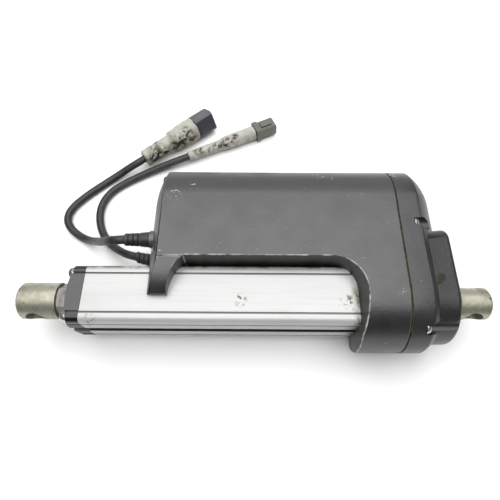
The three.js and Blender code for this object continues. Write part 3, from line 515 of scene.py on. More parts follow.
def make_materials():
    coat = (0.0115, 0.0117, 0.0122)
    cover = (0.015, 0.0152, 0.0158)
    even, round_bar = (1, 1, 1), (1, 0.05, 0.05)
    recipes = [
        ("coated_casting", coating, coat),
        # The edge looks go on the rounded edges: lighter copies of their coats, so painted highlight, with
        # edge wear rubbed through.
        ("casting_edge", coating, scaled(coat, 3), 0.28),
        ("cover_plastic", coating, cover, 0, 1.58),
        ("cover_edge", coating, scaled(cover, 2), 0.06, 1.58),
        ("front_cover", coating, scaled(cover, 3)),
        ("anodised_aluminium", anodised),
        ("cap_plastic", beaded_plastic),
        ("black_plastic", moulded, (0.035, 0.035, 0.037)),
        ("slate_plastic", moulded, (0.04, 0.042, 0.052), 0.4, 0.03),
        # Painted highlight: a light copy of the slate plastic for the power connector's rounded edges.
        ("slate_edge", moulded, (0.13, 0.135, 0.15), 0.45, 0.02),
        ("black_rubber", rubber),
        ("plated_steel", tarnished),
        ("rod_steel", bright_metal, (0.8, 0.81, 0.82), 0.1, round_bar, (0.3, 0.27, 0.2), 0.12),
        ("screw_steel", bright_metal, (0.6, 0.6, 0.59), 0.3),
        ("dark_steel", bright_metal, (0.09, 0.09, 0.095), 0.4),
        ("nut_steel", bright_metal, (0.17, 0.163, 0.155), 0.36, even, (0.07, 0.05, 0.04), 0.9),
        ("plain_steel", bright_metal, (0.5, 0.51, 0.52), 0.32),
        ("bearing_bronze", bright_metal, (0.62, 0.44, 0.19), 0.34, even, (0.25, 0.14, 0.05)),
        ("white_polymer", moulded, (0.8, 0.78, 0.72), 0.5, 0.02),
        ("ferrite", moulded, (0.05, 0.05, 0.055), 0.6, 0.08),
        ("copper", bright_metal, (0.72, 0.36, 0.2), 0.3, round_bar, (0.2, 0.08, 0.04)),
        ("carbon", moulded, (0.03, 0.03, 0.032), 0.65, 0.06),
        ("board_laminate", moulded, (0.05, 0.17, 0.08), 0.4, 0.02),
        ("gasket_rubber", moulded, (0.026, 0.021, 0.011), 0.8, 0.1),
        ("power_sleeve", grimy_sleeve, (0.41, 0.4, 0.345), POWER_GRIME),
        ("signal_sleeve", grimy_sleeve, (0.43, 0.422, 0.375), SIGNAL_GRIME),
        ("grey_connector", moulded, (0.1, 0.105, 0.082), 0.5, 0.04),
        # Painted shade: a dark copy of the grey plastic for the signal connector's rounded edges.
        ("grey_dark", moulded, (0.05, 0.052, 0.042), 0.5, 0.04),
    ]
    return {name: make(name, *settings) for name, make, *settings in recipes}


MATERIALS = make_materials()

# ---- outlines


def arc(centre_a, centre_b, radius, start, stop, steps):
    """Points round part of a circle, angles in degrees, both ends included."""
    points = []
    for i in range(steps + 1):
        angle = math.radians(start + (stop - start) * i / steps)
        points.append((centre_a + radius * math.cos(angle), centre_b + radius * math.sin(angle)))
    return points


def circle(radius, steps):
    return arc(0, 0, radius, 0, 360 - 360 / steps, steps - 1)


def box(low_a, high_a, low_b, high_b):
    """Outline of a rectangle."""
    return [(low_a, low_b), (high_a, low_b), (high_a, high_b), (low_a, high_b)]


def softened(points, radius, steps=4, closed=True):
    """Rounds each corner of an outline with an arc of that radius, or less where a side is short."""
    result = []
    count = len(points)
    for i, point in enumerate(points):
        here = Vector(point)
        if not closed and i in (0, count - 1):
            result.append(tuple(here))
            continue
        before = Vector(points[i - 1]) - here
        after = Vector(points[(i + 1) % count]) - here
        reach = min(before.length, after.length) * 0.45
        before.normalize()
        after.normalize()
        half = math.acos(max(-1, min(1, before.dot(after)))) / 2
        if half > math.radians(85):
            result.append(tuple(here))
            continue
        trim = min(reach, radius / math.tan(half))
        round_r = trim * math.tan(half)
        centre = here + (before + after).normalized() * (round_r / math.sin(half))
        first = here + before * trim - centre
        last = here + after * trim - centre
        turn = first.angle_signed(last)
        for step in range(steps + 1):
            angle = -turn * step / steps
            c, s = math.cos(angle), math.sin(angle)
            result.append((centre.x + c * first.x - s * first.y, centre.y + s * first.x + c * first.y))
    return result


def motor_side(radius):
    return arc(MOTOR_OFFSET, 0, radius, -90, 90, ROUND_STEPS)


def stadium(radius, low_y=0.0):
    """Outline at that distance from the line that joins the motor axis and low_y."""
    return motor_side(radius) + arc(low_y, 0, radius, 90, 270, ROUND_STEPS)


def bay_outline():
    """Inside of the motor bay, as far as the wall of the ledge."""
    low_y, side = LEDGE_Y + WALL, MOTOR_BAY_R - 2
    return [(low_y, -side), *motor_side(MOTOR_BAY_R), (low_y, side)]


def straddle_outline():
    """Motor bay with the two legs of the foot that grips the tube."""
    inner = TUBE_HALF + 0.4
    drop = math.degrees(math.asin((FOOT_TOP_Y - FOOT_Y) / FOOT_BACK_R))
    back = HOUSING_R - FOOT_STEP - FOOT_BACK_R
    points = [(FOOT_Y, -inner)]
    points += arc(FOOT_TOP_Y, -back, FOOT_BACK_R, 270 - drop, 270, 14) + [(FOOT_TOP_Y, -HOUSING_R)]
    points += motor_side(HOUSING_R)
    points += [(FOOT_TOP_Y, HOUSING_R)] + arc(FOOT_TOP_Y, back, FOOT_BACK_R, 90, 90 + drop, 14)
    return points + [(FOOT_Y, inner), (inner, inner), (inner, -inner)]


def tube_outline(slotted=True, grow=0.0, groove=GROOVE):
    """Rounded square with fine grooves, and a wide slot in the two sides that face +Y and -Y."""
    half = TUBE_HALF + grow
    points = []
    for side in range(4):
        local = [(half, TUBE_CORNER_R - TUBE_HALF)]
        marks = [-GROOVE_AT, 0, GROOVE_AT] if slotted else []
        for mark in marks:
            if mark == 0 and side % 2:
                continue
            reach, depth = (SLOT_HALF, SLOT_DEPTH) if mark == 0 else (groove[0] / 2, groove[1])
            low, high = mark - reach, mark + reach
            local += [(half, low), (half - depth, low), (half - depth, high), (half, high)]
        centre = TUBE_HALF - TUBE_CORNER_R
        local += arc(centre, centre, TUBE_CORNER_R + grow, 0, 81, 9)
        for a, b in local:
            for _ in range(side):
                a, b = -b, a
            points.append((a, b))
    return points


def foot_plan():
    """Plan of the motor bay and foot, in front of the gearbox, up to the middle of the ledge."""
    seam, lean = FRONT_SEAM_X + SEAM_HALF, FOOT_SEAM_X + SEAM_HALF
    sweep = math.degrees(math.asin((LEDGE_Y - FOOT_Y) / FOOT_EDGE_R))
    low = FOOT_Y - 1
    edge = arc(FOOT_X + FOOT_EDGE_R, FOOT_Y, FOOT_EDGE_R, 180, 180 - sweep, 20)
    front = [(seam, PLAN_HIGH_Y), (seam, LEDGE_Y), (lean, low), (FOOT_X, low)]
    return front + edge + [(0, LEDGE_Y), (0, PLAN_HIGH_Y)]


def gear_plan():
    """Plan of the gearbox, behind the middle of the ledge, with its round cut-out."""
    corner = arc(GEARBOX_FRONT_X - CUTOUT_R, LEDGE_Y - CUTOUT_R, CUTOUT_R, 90, 0, 20)
    rear = REAR_SEAM_X - SEAM_HALF
    low, high = PLAN_LOW_Y, PLAN_HIGH_Y
    return [(0, high), (0, LEDGE_Y)] + corner + [(GEARBOX_FRONT_X, low), (rear, low), (rear, high)]


# ---- solids


def faces_of(rings, closed=False):
    """Closed mesh through rings of points; ends are flat caps unless the rings close on themselves."""
    mesh = bmesh.new()
    verts = [[mesh.verts.new(p) for p in ring] for ring in rings]
    following = verts[1:] + verts[:1] if closed else verts[1:]
    for lower, upper in zip(verts, following):
        for i in range(len(lower)):
            j = (i + 1) % len(lower)
            mesh.faces.new((lower[i], lower[j], upper[j], upper[i]))
    if not closed:
        mesh.faces.new(list(reversed(verts[0])))
        mesh.faces.new(verts[-1])
    bmesh.ops.remove_doubles(mesh, verts=mesh.verts, dist=1e-4)
    bmesh.ops.recalc_face_normals(mesh, faces=mesh.faces)
    return mesh


def along_x(outline, low, high):
    return faces_of([[(x, a, b) for a, b in outline] for x in (low, high)])


def along_z(outline, low, high):
    return faces_of([[(a, b, z) for a, b in outline] for z in (low, high)])


def turned(profile, steps=64, y=0.0, z=0.0, closed=False):
    """Turns (x, radius) points about an axis along X through (y, z)."""
    rings = []
    for x, radius in profile:
        radius = max(radius, 1e-3)
        rings.append([(x, y + a, z + b) for a, b in circle(radius, steps)])
    return faces_of(rings, closed)


def drill(low, high, radius, y=0.0, z=0.0, steps=32):
    return turned([(low, radius), (high, radius)], steps, y, z)


def drills(low, high, radius, spots, steps=32):
    """The same drill at each (y, z) of the spots, as one mesh."""
    return together(*[drill(low, high, radius, y, z, steps) for y, z in spots])


def dome(base_x, top_x, radius, reach, toward, low_y=0.0):
    """Room under a dome that follows the line that joins the motor axis and low_y."""
    steps = 24
    rings = [[(top_x, a, b) for a, b in stadium(reach, low_y)]]
    for i in range(steps + 1):
        r = reach * (1 - i / steps)
        x = base_x + toward * math.sqrt(radius ** 2 - r ** 2)
        rings.append([(x, a, b) for a, b in stadium(max(r, 0.02), low_y)])
    return faces_of(rings)


def together(*parts):
    """Solids that don't touch, as one mesh."""
    mesh = bmesh.new()
    for part in parts:
        data = bpy.data.meshes.new("part")
        part.to_mesh(data)
        mesh.from_mesh(data)
        bpy.data.meshes.remove(data)
        part.free()
    return mesh


def as_object(mesh, name="scratch"):
    data = bpy.data.meshes.new(name)
    mesh.to_mesh(data)
    mesh.free()
    return linked(name, data)


def settled(made):
    """Applies an object's modifiers."""
    graph = bpy.context.evaluated_depsgraph_get()
    data = bpy.data.meshes.new_from_object(made.evaluated_get(graph), depsgraph=graph)
    old = made.data
    made.modifiers.clear()
    made.data = data
    bpy.data.meshes.remove(old)


def combine(operation, base, *tools):
    """DIFFERENCE, INTERSECT or UNION of a solid with each tool in turn."""
    made = as_object(base)
    for tool in tools:
        other = as_object(tool)
        modifier = made.modifiers.new("combine", "BOOLEAN")
        modifier.operation = operation
        modifier.solver = "EXACT"
        modifier.object = other
        settled(made)
        bpy.data.objects.remove(other)
    mesh = bmesh.new()
    mesh.from_mesh(made.data)
    bpy.data.objects.remove(made)
    bmesh.ops.dissolve_degenerate(mesh, dist=1e-4, edges=mesh.edges)
    return mesh


def cut(base, *tools):
    return combine("DIFFERENCE", base, *tools)


def meet(base, *tools):
    return combine("INTERSECT", base, *tools)


def transformed(mesh, matrix):
    bmesh.ops.transform(mesh, matrix=matrix, verts=mesh.verts)
    return mesh


def axis_distance(point):
    """How far a point is from the plane strip between the spindle axis and the motor axis."""
    return math.hypot(point.y - min(max(point.y, 0), MOTOR_OFFSET), point.z)


def piece(
    node, mesh, look, body="housing",
    bevel=0.0, edge_look=None, sharp=40, segments=3, plain_r=0.0,
):
    """Shows a node as a drive-frame solid: rounds its edges, shades it and rides it on its body.

    Given plain_r, edges nearer than that to the spindle and motor axes stay sharp.
    """
    bmesh.ops.dissolve_limit(mesh, angle_limit=math.radians(0.2), verts=mesh.verts, edges=mesh.edges)
    if plain_r:
        weight = mesh.edges.layers.float.new("bevel_weight_edge")
        for edge in mesh.edges:
            far = all(axis_distance(v.co) > plain_r for v in edge.verts)
            steep = len(edge.link_faces) == 2 and edge.calc_face_angle() > math.radians(sharp)
            edge[weight] = 1.0 if far and steep else 0.0
    made = as_object(transformed(mesh, TO_ROW), f"{node}_piece")
    made.data.materials.append(MATERIALS[look])
    if edge_look:
        made.data.materials.append(MATERIALS[edge_look])
    if bevel:
        rounding = made.modifiers.new("bevel", "BEVEL")
        rounding.width = bevel * MM
        rounding.segments = segments
        rounding.limit_method = "WEIGHT" if plain_r else "ANGLE"
        rounding.angle_limit = math.radians(sharp)
        rounding.use_clamp_overlap = not plain_r
        rounding.material = 1 if edge_look else -1
        settled(made)
    shaded = bmesh.new()
    shaded.from_mesh(made.data)
    for edge in shaded.edges:
        edge.smooth = len(edge.link_faces) == 2 and edge.calc_face_angle() < math.radians(SHADE_ANGLE)
    for face in shaded.faces:
        face.smooth = True
    shaded.to_mesh(made.data)
    shaded.free()
    weights = made.modifiers.new("weights", "WEIGHTED_NORMAL")
    weights.keep_sharp = True
    settled(made)
    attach(made, body)
    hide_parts(node)
    return made


# ---- cables, boots and connectors


def smooth_route(points, steps=5):
    """Catmull-Rom curve through the points."""
    spots = [2 * points[0] - points[1], *points, 2 * points[-1] - points[-2]]
    route = []
    for a, b, c, d in zip(spots, spots[1:], spots[2:], spots[3:]):
        for i in range(steps):
            t = i / steps
            route.append(0.5 * (2 * b + (c - a) * t + (2 * a - 5 * b + 4 * c - d) * t ** 2
                                + (3 * b - a - 3 * c + d) * t ** 3))
    route.append(spots[-2])
    return route


def add_cable(node, route):
    """A round cable; it starts a little inside its boot and ends inside its connector's sleeve."""
    spots = [Vector(p) for p in route]
    start = spots[0] - (spots[1] - spots[0]).normalized() * CABLE_TUCK
    end = spots[-1] + (spots[-1] - spots[-2]).normalized() * CABLE_TUCK
    path = smooth_route([start, *spots, end])
    name = f"{node}_piece"
    curve = bpy.data.curves.new(name, "CURVE")
    curve.dimensions = "3D"
    curve.bevel_depth = CABLE_R * MM
    curve.bevel_resolution = 6
    curve.use_fill_caps = True
    spline = curve.splines.new("POLY")
    spline.points.add(len(path) - 1)
    for point, spot in zip(spline.points, path):
        point.co = (*at(*spot), 1)
    made = linked(name, curve)
    curve.materials.append(MATERIALS["black_rubber"])
    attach(made, "housing")
    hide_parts(node)
    length = sum((b - a).length for a, b in zip(path, path[1:])) * MM
    return made, length


def add_boot(node, exit_at, drift):
    """Ribbed strain relief: a plain barrel and three ribs; drift bends its tip that far to +Y."""
    (hidden_x, hole_r), (root, tip) = BOOT_ROOT, BOOT_X
    barrel_r, barrel_end = 5.6, root - 6.8
    first_rib, rib_pitch, rib_r, rib_taper = root - 8, 3.5, 4.8, 0.15
    profile = [(hidden_x, 0), (hidden_x, hole_r), (root - 0.1, hole_r), (root - 0.1, barrel_r)]
    profile += [(barrel_end, 5.0), (barrel_end - 0.3, 4.1)]
    for rib in range(3):
        x = first_rib - rib * rib_pitch
        fat = rib_r - rib * rib_taper
        profile += [(x + 0.3, fat - 0.9), (x, fat), (x - 2.6, fat - 0.06), (x - 2.8, fat - 1.0)]
    profile += [(tip, 3.5), (tip, 0)]
    mesh = turned(softened(profile, 0.35, 3, closed=False), 48, *exit_at)
    for vert in mesh.verts:
        along = max(0.0, (root - vert.co.x) / (root - tip))
        vert.co.y += drift * along ** 2
    return piece(node, mesh, "black_rubber")


def connector_frame(route, heading):
    return Matrix.Translation(route[-1]) @ Matrix.Rotation(heading, 4, "Z")


def crumpled(mesh, depth, size, seed):
    """Moves a solid's surface in and out a little, as hand-wrapped tape lies."""
    long_edges = [e for e in mesh.edges if e.calc_length() > 3]
    bmesh.ops.subdivide_edges(mesh, edges=long_edges, cuts=3, use_grid_fill=True)
    mesh.normal_update()
    for vert in mesh.verts:
        amount = noise.noise(Vector(vert.co) / size + Vector((seed, 0, 0)))
        vert.co += vert.normal * depth * (amount - 0.4)
    return mesh


def sleeve_profile(corners, step=1.5):
    """A profile with extra points along its long straights, so that it can be crumpled."""
    fine = []
    for (x0, r0), (x1, r1) in zip(corners, corners[1:]):
        count = max(1, int(abs(x1 - x0) / step))
        fine += [(x0 + (x1 - x0) * i / count, r0 + (r1 - r0) * i / count) for i in range(count)]
    return fine + [corners[-1]]


def chamfered(half_a, half_b, size):
    """A rectangle with its corners cut off."""
    a, b = half_a - size, half_b - size
    right = [(a, -half_b), (half_a, -b), (half_a, b), (a, half_b)]
    return right + [(-p, -q) for p, q in right]


def add_sleeve(node, look, place, corners, rounding, steps, crumple):
    """Sleeve turned from a profile, then crumpled by a (depth, size, seed)."""
    shell = turned(softened(sleeve_profile(corners), rounding, 2, closed=False), steps)
    return piece(node, transformed(crumpled(shell, *crumple), place), look)


def add_power_connector():
    """Off-white sleeve in two diameters, and a square dark connector with a recessed face."""
    place = connector_frame(POWER_ROUTE, POWER_HEADING)
    corners = [
        (0.3, 0), (0.3, 6.7), (1.2, 7.3), (26.5, 7.7), (28.6, 8.2), (30.2, 9.5), (42, 10.2),
        (53.6, 10.7), (54.6, 10.2), (54.6, 0),
    ]
    sleeve = add_sleeve("power_backshell", "power_sleeve", place, corners, 0.5, 56, (0.5, 4.5, 3))
    face = 73.5
    mouth = along_x(chamfered(5.9, 7.3, 1.6), face - 2.5, face + 1)
    block = cut(along_x(chamfered(7.6, 9.1, 2.2), 54.9, face), mouth)
    block = cut(block, drills(face - 5.5, face + 1, 1.3, ((-2.4, -3.4), (2.4, -3.4), (0, 3.2))))
    block = transformed(block, place @ Matrix.Rotation(POWER_ROLL, 4, "X"))
    plug = piece(
        "power_connector", block, "slate_plastic", bevel=0.55, edge_look="slate_edge",
    )
    return [sleeve, plug]


def add_signal_connector():
    """Off-white sleeve that widens once, and a small grey-green connector with a latch."""
    place = connector_frame(SIGNAL_ROUTE, SIGNAL_HEADING)
    corners = [(0.3, 0), (0.3, 4.1), (1.2, 4.5), (30, 4.7), (38, 6.2), (64.8, 6.6), (65.9, 6.1), (65.9, 0)]
    sleeve = add_sleeve("signal_sleeve", "signal_sleeve", place, corners, 0.4, 48, (0.35, 4.0, 11))
    face = 86.0
    collar = along_x(chamfered(7.4, 6.6, 1.6), 66.3, 70.3)
    latch = along_x(box(-2.5, 2.5, 4.7, 6.9), 72.5, 82.4)
    block = combine("UNION", along_x(chamfered(6.5, 5.5, 1.4), 67, face), collar, latch)
    mouth = along_x(chamfered(4.9, 4.0, 1), face - 2.5, face + 1)
    notch = along_x(box(-6, 6, -6, -5.3), 78, 84)
    pins = [(a, b) for a in (-2.4, 0, 2.4) for b in (-1.6, 1.6)]
    block = cut(block, mouth, notch)
    block = cut(block, drills(face - 5, face + 1, 0.9, pins, 20))
    block = transformed(block, place)
    plug = piece("signal_connector", block, "grey_connector", bevel=0.4, edge_look="grey_dark")
    return [sleeve, plug]


def add_cables():
    plans = [
        ("power", POWER_ROUTE, POWER_EXIT, 0.0, add_power_connector),
        ("signal", SIGNAL_ROUTE, SIGNAL_EXIT, SIGNAL_BOOT_DRIFT, add_signal_connector),
    ]
    for name, route, exit_at, drift, add_connector in plans:
        cable, length = add_cable(f"{name}_cable", route)
        boot = add_boot(f"{name}_boot", exit_at, drift)
        ends = add_connector()


add_cables()

# ---- tube, end cap and rod


def add_tube():
    low, high = TUBE_X[0] - 1, TUBE_X[1] + 1
    bore = drill(low, high, TUBE_BORE_R, steps=64)
    ways = together(bore, drills(low, high, SCREW_HOLE_R, CAP_SCREWS, 16))
    body = cut(along_x(tube_outline(), *TUBE_X), ways)
    piece("profile_tube", body, "anodised_aluminium", bevel=0.22, segments=2)


def add_screw(node, spot, seat_x, toward, length, head=HEAD_HEIGHT, look="screw_steel"):
    """Pan-head screw with a cross recess; toward is the way its head points along X."""
    def place(distance):
        return seat_x + toward * (distance + GAP)

    y, z = spot
    crown = []
    for degrees in range(0, 91, 15):
        angle = math.radians(degrees)
        crown.append((place(head * math.sin(angle)), HEAD_R * (0.55 + 0.45 * math.cos(angle))))
    shank = [(place(-length), 0), (place(-length), SCREW_R), (place(0), SCREW_R), (place(0), HEAD_R - 0.2)]
    mesh = turned(shank + crown + [(place(head), 0)], 40, y, z)
    low, high = sorted((place(head / 2), place(head + 1)))
    for a, b in ((0.45, 2.0), (2.0, 0.45)):
        mesh = cut(mesh, along_x(box(y - a, y + a, z - b, z + b), low, high))
    piece(node, mesh, look)


def add_screws(name, spots, *fitting):
    for number, spot in enumerate(spots, 1):
        add_screw(f"{name}_{number}", spot, *fitting)


def add_end_cap():
    """Black cap, slightly domed, that carries the tube's grooves on to its front."""
    back = TUBE_X[0] - GAP
    rise = [(CAP_TIP_X + CAP_DOME_R - math.sqrt(CAP_DOME_R ** 2 - r ** 2), r) for r in range(0, 32, 2)]
    limit = turned(rise + [(back, 30), (back, 0)], 96)
    block = meet(along_x(tube_outline(groove=CAP_GROOVE), CAP_TIP_X - 2, back), limit)
    low, high = CAP_TIP_X - 3, TUBE_X[0] + 1
    block = cut(block, drill(low, high, CAP_BORE_R, steps=64))
    add_screws("cap_screw", CAP_SCREWS, CAP_SEAT_X, -1, 24, CAP_HEAD_HEIGHT)
    seats = drills(low, CAP_SEAT_X, HEAD_R + GAP, CAP_SCREWS)
    block = cut(block, seats, drills(low, high, SCREW_HOLE_R, CAP_SCREWS, 20))
    piece("tube_end_cap", block, "cap_plastic", bevel=0.35, segments=2)
    inner, outer = ROD_R + GAP, CAP_BORE_R - GAP
    front, back = WIPER_X
    lip = softened([(front, inner), (front, outer), (back, outer), (back, inner)], 0.4, 3)
    piece("wiper_seal", turned(lip, closed=True), "black_rubber")


def eye(profile, eye_x):
    """A turned eye with its cross hole."""
    body = turned(softened(profile, 0.5, 3, closed=False), 80)
    hole = drill(-30, 30, EYE_HOLE_R, steps=48)
    across = Matrix.Translation((eye_x, 0, 0)) @ Matrix.Rotation(math.pi / 2, 4, "Z")
    return cut(body, transformed(hole, across))


def add_rod():
    back, front = ROD_X
    wall = softened([(back, ROD_BORE_R), (back, ROD_R), (front, ROD_R), (front, ROD_BORE_R)], 0.5, 3)
    piece("piston_rod", turned(wall, closed=True), "rod_steel", body="rod")

    tip = -EYE_X - EYE_REACH
    stud_r = ROD_BORE_R - GAP
    shoulder, stud_end = ROD_STUD_X
    profile = [
        (tip, 0), (tip, ROD_EYE_R - EYE_EDGE), (tip + EYE_EDGE, ROD_EYE_R), (shoulder, ROD_EYE_R),
        (shoulder, stud_r), (stud_end, stud_r), (stud_end, 0),
    ]
    piece("rod_eye", eye(profile, -EYE_X), "plated_steel", body="rod", bevel=0.6, sharp=50)

    front, rear = NUT_X
    hexagon = along_x(arc(0, 0, NUT_CORNER_R, 5, 305, 5), front, rear)
    cone = [
        (front, 0), (front, NUT_FACE_R), (front + 1.1, NUT_ROUND_R), (rear - 1.1, NUT_ROUND_R),
        (rear, NUT_FACE_R), (rear, 0),
    ]
    nut = cut(meet(hexagon, turned(cone, 72)), drill(front - 1, rear + 1, ROD_BORE_R, steps=48))
    piece("rod_lock_nut", nut, "nut_steel", body="rod", bevel=0.2, segments=2)


add_tube()
add_end_cap()
add_rod()

# ---- housing and covers


def cutout_draft(side):
    """Tapered room over the tube that leans the gearbox front back, above or below it."""
    rings = []
    centre_x = GEARBOX_FRONT_X - CUTOUT_R
    low_x = centre_x - 5
    for grow, z in ((0, TUBE_HALF - 0.1), (CUTOUT_DRAFT, HOUSING_R + 0.1)):
        radius = CUTOUT_R + grow
        outline = [(low_x, LEDGE_Y)] + arc(centre_x, LEDGE_Y - radius, radius, 90, 0, 20)
        outline += [(GEARBOX_FRONT_X + grow, PLAN_LOW_Y), (low_x, PLAN_LOW_Y)]
        rings.append([(x, y, side * z) for x, y in outline])
    return faces_of(rings)


def add_housing():
    """One casting: motor bay, the foot that grips the tube, and the gearbox with its round cut-out."""
    front, rear, high = -80, 110, HOUSING_R + 6
    bay = meet(along_x(straddle_outline(), front, 0), along_z(foot_plan(), -high, high))
    gearbox = meet(along_x(stadium(HOUSING_R), 0, rear), along_z(gear_plan(), -high, high))
    body = together(bay, gearbox)
    inner = [f for f in body.faces if all(abs(v.co.x) < 1e-3 for v in f.verts)]
    bmesh.ops.delete(body, geom=inner, context="FACES_ONLY")
    bmesh.ops.remove_doubles(body, verts=body.verts, dist=1e-3)
    bmesh.ops.recalc_face_normals(body, faces=body.faces)

    wall_front, wall_back = BULKHEAD_X
    gears = along_x(stadium(HOUSING_R - WALL), wall_back, rear)
    gears = cut(gears, drills(wall_front - 2, rear + 10, REAR_POST_R, REAR_SCREWS))
    bay_room = along_x(bay_outline(), front, wall_front)
    bay_room = cut(bay_room, drills(front - 10, FRONT_POST_END_X, FRONT_POST_R, FRONT_SCREWS))
    stop = TUBE_X[1] + GAP
    body = cut(
        body, cutout_draft(1), cutout_draft(-1), gears, bay_room,
        along_x(tube_outline(False, GAP), GEARBOX_FRONT_X - CUTOUT_R, stop),
        drill(stop - 1, wall_back + 1, SEAT_R, steps=48),
        drill(wall_front - 1, wall_back + 1, ROTOR_HOLE_R, MOTOR_OFFSET),
        drill(wall_front + 2, wall_back + 1, AXLE_R + GAP, AXLE_Y),
        drills(REAR_HOLE_END_X, rear, SCREW_HOLE_R, REAR_SCREWS, 20),
        drills(front, FRONT_HOLE_END_X, SCREW_HOLE_R, FRONT_SCREWS, 20),
    )
    piece(
        "motor_housing", body, "coated_casting",
        bevel=0.6, edge_look="casting_edge", plain_r=HOUSING_R - 1.5,
    )


def add_front_cover():
    """Slightly domed cover over the motor bay, with a round pad under each strain relief."""
    front, rear, high = -90, -50, HOUSING_R + 6
    seam = FRONT_SEAM_X - SEAM_HALF
    round_y = FOOT_Y + COVER_CORNER_R
    corner = arc(FOOT_SEAM_X - SEAM_HALF, round_y, COVER_CORNER_R, 180, 270, 8)
    plan = [(front, PLAN_HIGH_Y), (front, round_y)] + corner + [(seam, LEDGE_Y), (seam, PLAN_HIGH_Y)]

    def front_dome(radius):
        return dome(FRONT_DOME_X, FRONT_DOME_X, radius, HOUSING_R + 5, -1, -10)

    outside = along_x(straddle_outline(), front, rear)
    outside = meet(outside, along_z(plan, -high, high), front_dome(FRONT_DOME_R))
    exits = (POWER_EXIT, SIGNAL_EXIT)
    pads = [drill(BOOT_X[0] + GAP, -66, PAD_R, *exit_at, 48) for exit_at in exits]
    outside = combine("UNION", outside, *pads)
    inside = along_x(bay_outline(), front, rear)
    inside = meet(inside, front_dome(FRONT_DOME_R - COVER_WALL))
    inside = cut(inside, drills(front, -40, COVER_POST_R, FRONT_SCREWS))
    body = cut(
        outside, inside,
        drills(front, rear, SCREW_HOLE_R, FRONT_SCREWS, 20),
        drills(front, FRONT_SEAT_X, FRONT_POCKET_R, FRONT_SCREWS),
        drills(front, rear, CABLE_HOLE_R, exits),
    )
    piece("front_cover", body, "front_cover", bevel=0.6, edge_look="casting_edge")
    add_screws("front_cover_screw", FRONT_SCREWS, FRONT_SEAT_X, -1, 10, LOW_HEAD_HEIGHT, "dark_steel")


def boss_outline(half, low_r, top_y, inset=0.0):
    """Round-cornered at the top and half an ellipse at the bottom, drawn in all round by inset."""
    corner_y, corner_z = top_y - BOSS_CORNER_R, half - BOSS_CORNER_R
    radius = BOSS_CORNER_R - inset
    points = arc(corner_y, -corner_z, radius, -90, 0, 12) + arc(corner_y, corner_z, radius, 0, 90, 12)
    wide, tall = low_r - inset, half - inset
    return points + [(a * wide, b * tall) for a, b in arc(0, 0, 1, 90, 270, 40)]


def boss_shape():
    """The raised boss: full size where it leaves the dome, drawn in towards its rounded flat end."""
    base_x, *base_size = BOSS_BASE
    end_x, *end_size = BOSS_END
    rings = [[(x, a, b) for a, b in boss_outline(*base_size)] for x in (base_x - 5, base_x)]
    steps = 6
    for step in range(steps + 1):
        angle = math.radians(90 * step / steps)
        inset = BOSS_EDGE_R * (1 - math.cos(angle))
        x = end_x - BOSS_EDGE_R * (1 - math.sin(angle))
        rings.append([(x, a, b) for a, b in boss_outline(*end_size, inset)])
    return faces_of(rings)


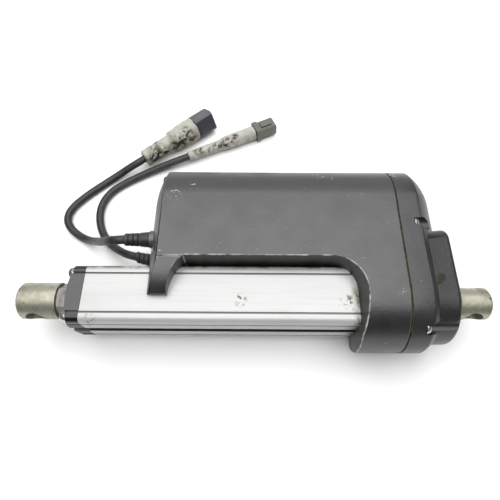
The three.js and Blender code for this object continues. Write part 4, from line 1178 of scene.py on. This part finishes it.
def add_rear_cover():
    """Domed cover with a raised boss round the rear eye and four deep screw pockets."""
    start, beyond = REAR_SEAM_X + SEAM_HALF, 140
    shell = dome(REAR_DOME_X, start, REAR_DOME_R, HOUSING_R, 1)
    shell = combine("UNION", shell, boss_shape())
    hollow = meet(
        along_x(stadium(HOUSING_R - WALL), 90, 130),
        dome(REAR_DOME_X - COVER_WALL, 80, REAR_DOME_R, HOUSING_R, 1),
    )
    solid_x, solid_y = 105, 53
    boss_core = along_x(box(-40, solid_y, -40, 40), solid_x, beyond)
    hollow = cut(hollow, drills(70, beyond, REAR_POST_R, REAR_SCREWS), boss_core)
    body = cut(
        shell, hollow, drill(100, beyond, REAR_EYE_R + GAP, steps=64),
        drills(90, beyond, SCREW_HOLE_R, REAR_SCREWS, 20),
        drills(REAR_SEAT_X, beyond, REAR_POCKET_R, REAR_SCREWS),
    )
    piece("rear_cover", body, "cover_plastic", bevel=1.0, edge_look="cover_edge", sharp=45)
    add_screws("rear_cover_screw", REAR_SCREWS, REAR_SEAT_X, 1, 24)

    tip = EYE_X + EYE_REACH
    flange, neck = REAR_FLANGE_X
    profile = [
        (flange, 0), (flange, REAR_FLANGE_R), (neck, REAR_FLANGE_R), (neck, REAR_EYE_R),
        (tip - EYE_EDGE, REAR_EYE_R), (tip, REAR_EYE_R - EYE_EDGE), (tip, 0),
    ]
    piece("rear_eye", eye(profile, EYE_X), "plated_steel", bevel=0.6, sharp=50)


add_housing()
add_front_cover()
add_rear_cover()

# ---- carried-over CAD nodes


def paint_cad_nodes():
    """Every CAD node still shown gets the node material of its slot."""
    slots = {part["node"]: part["material_slot"] for part in frame["record"]["subparts"]}
    for name, node in frame["nodes"].items():
        if not node.hide_render:
            node.data.materials.clear()
            node.data.materials.append(MATERIALS[slots[name]])


paint_cad_nodes()

# ---- floor and light


def add_floor():
    mesh = bmesh.new()
    half = 3.0
    mesh.faces.new([mesh.verts.new((x, y, 0)) for x, y in box(-half, half, -half, half)])
    floor = as_object(mesh, "floor")
    floor.location.z = -0.0002
    paper = Surface("pale_paper", (0.94, 0.94, 0.94), 0.9)
    paper.tint(paper.patches(3, 2, 0.3, 0.8, 0.3), (0.92, 0.92, 0.92))
    floor.data.materials.append(paper.material)


def add_area_light(name, place, size, power):
    """A softbox that faces the origin."""
    data = bpy.data.lights.new(name, "AREA")
    data.shape = "RECTANGLE"
    data.size, data.size_y = size
    data.energy = power
    light = linked(name, data)
    light.location = place
    light.rotation_euler = (-Vector(place)).to_track_quat("-Z", "Y").to_euler()


def add_world(strength):
    world = bpy.data.worlds.new("studio")
    world.use_nodes = True
    background = world.node_tree.nodes["Background"]
    background.inputs["Color"].default_value = (1, 1, 1, 1)
    background.inputs["Strength"].default_value = strength
    bpy.context.scene.world = world


add_floor()
add_area_light("overhead_softbox", (0, 0.07, 1.1), (1.6, 1.4), 24)
add_area_light("back_softbox", (0, 1.25, 0.75), (1.8, 1.4), 8)
add_world(0.08)
bpy.context.scene.view_settings.view_transform = "Standard"
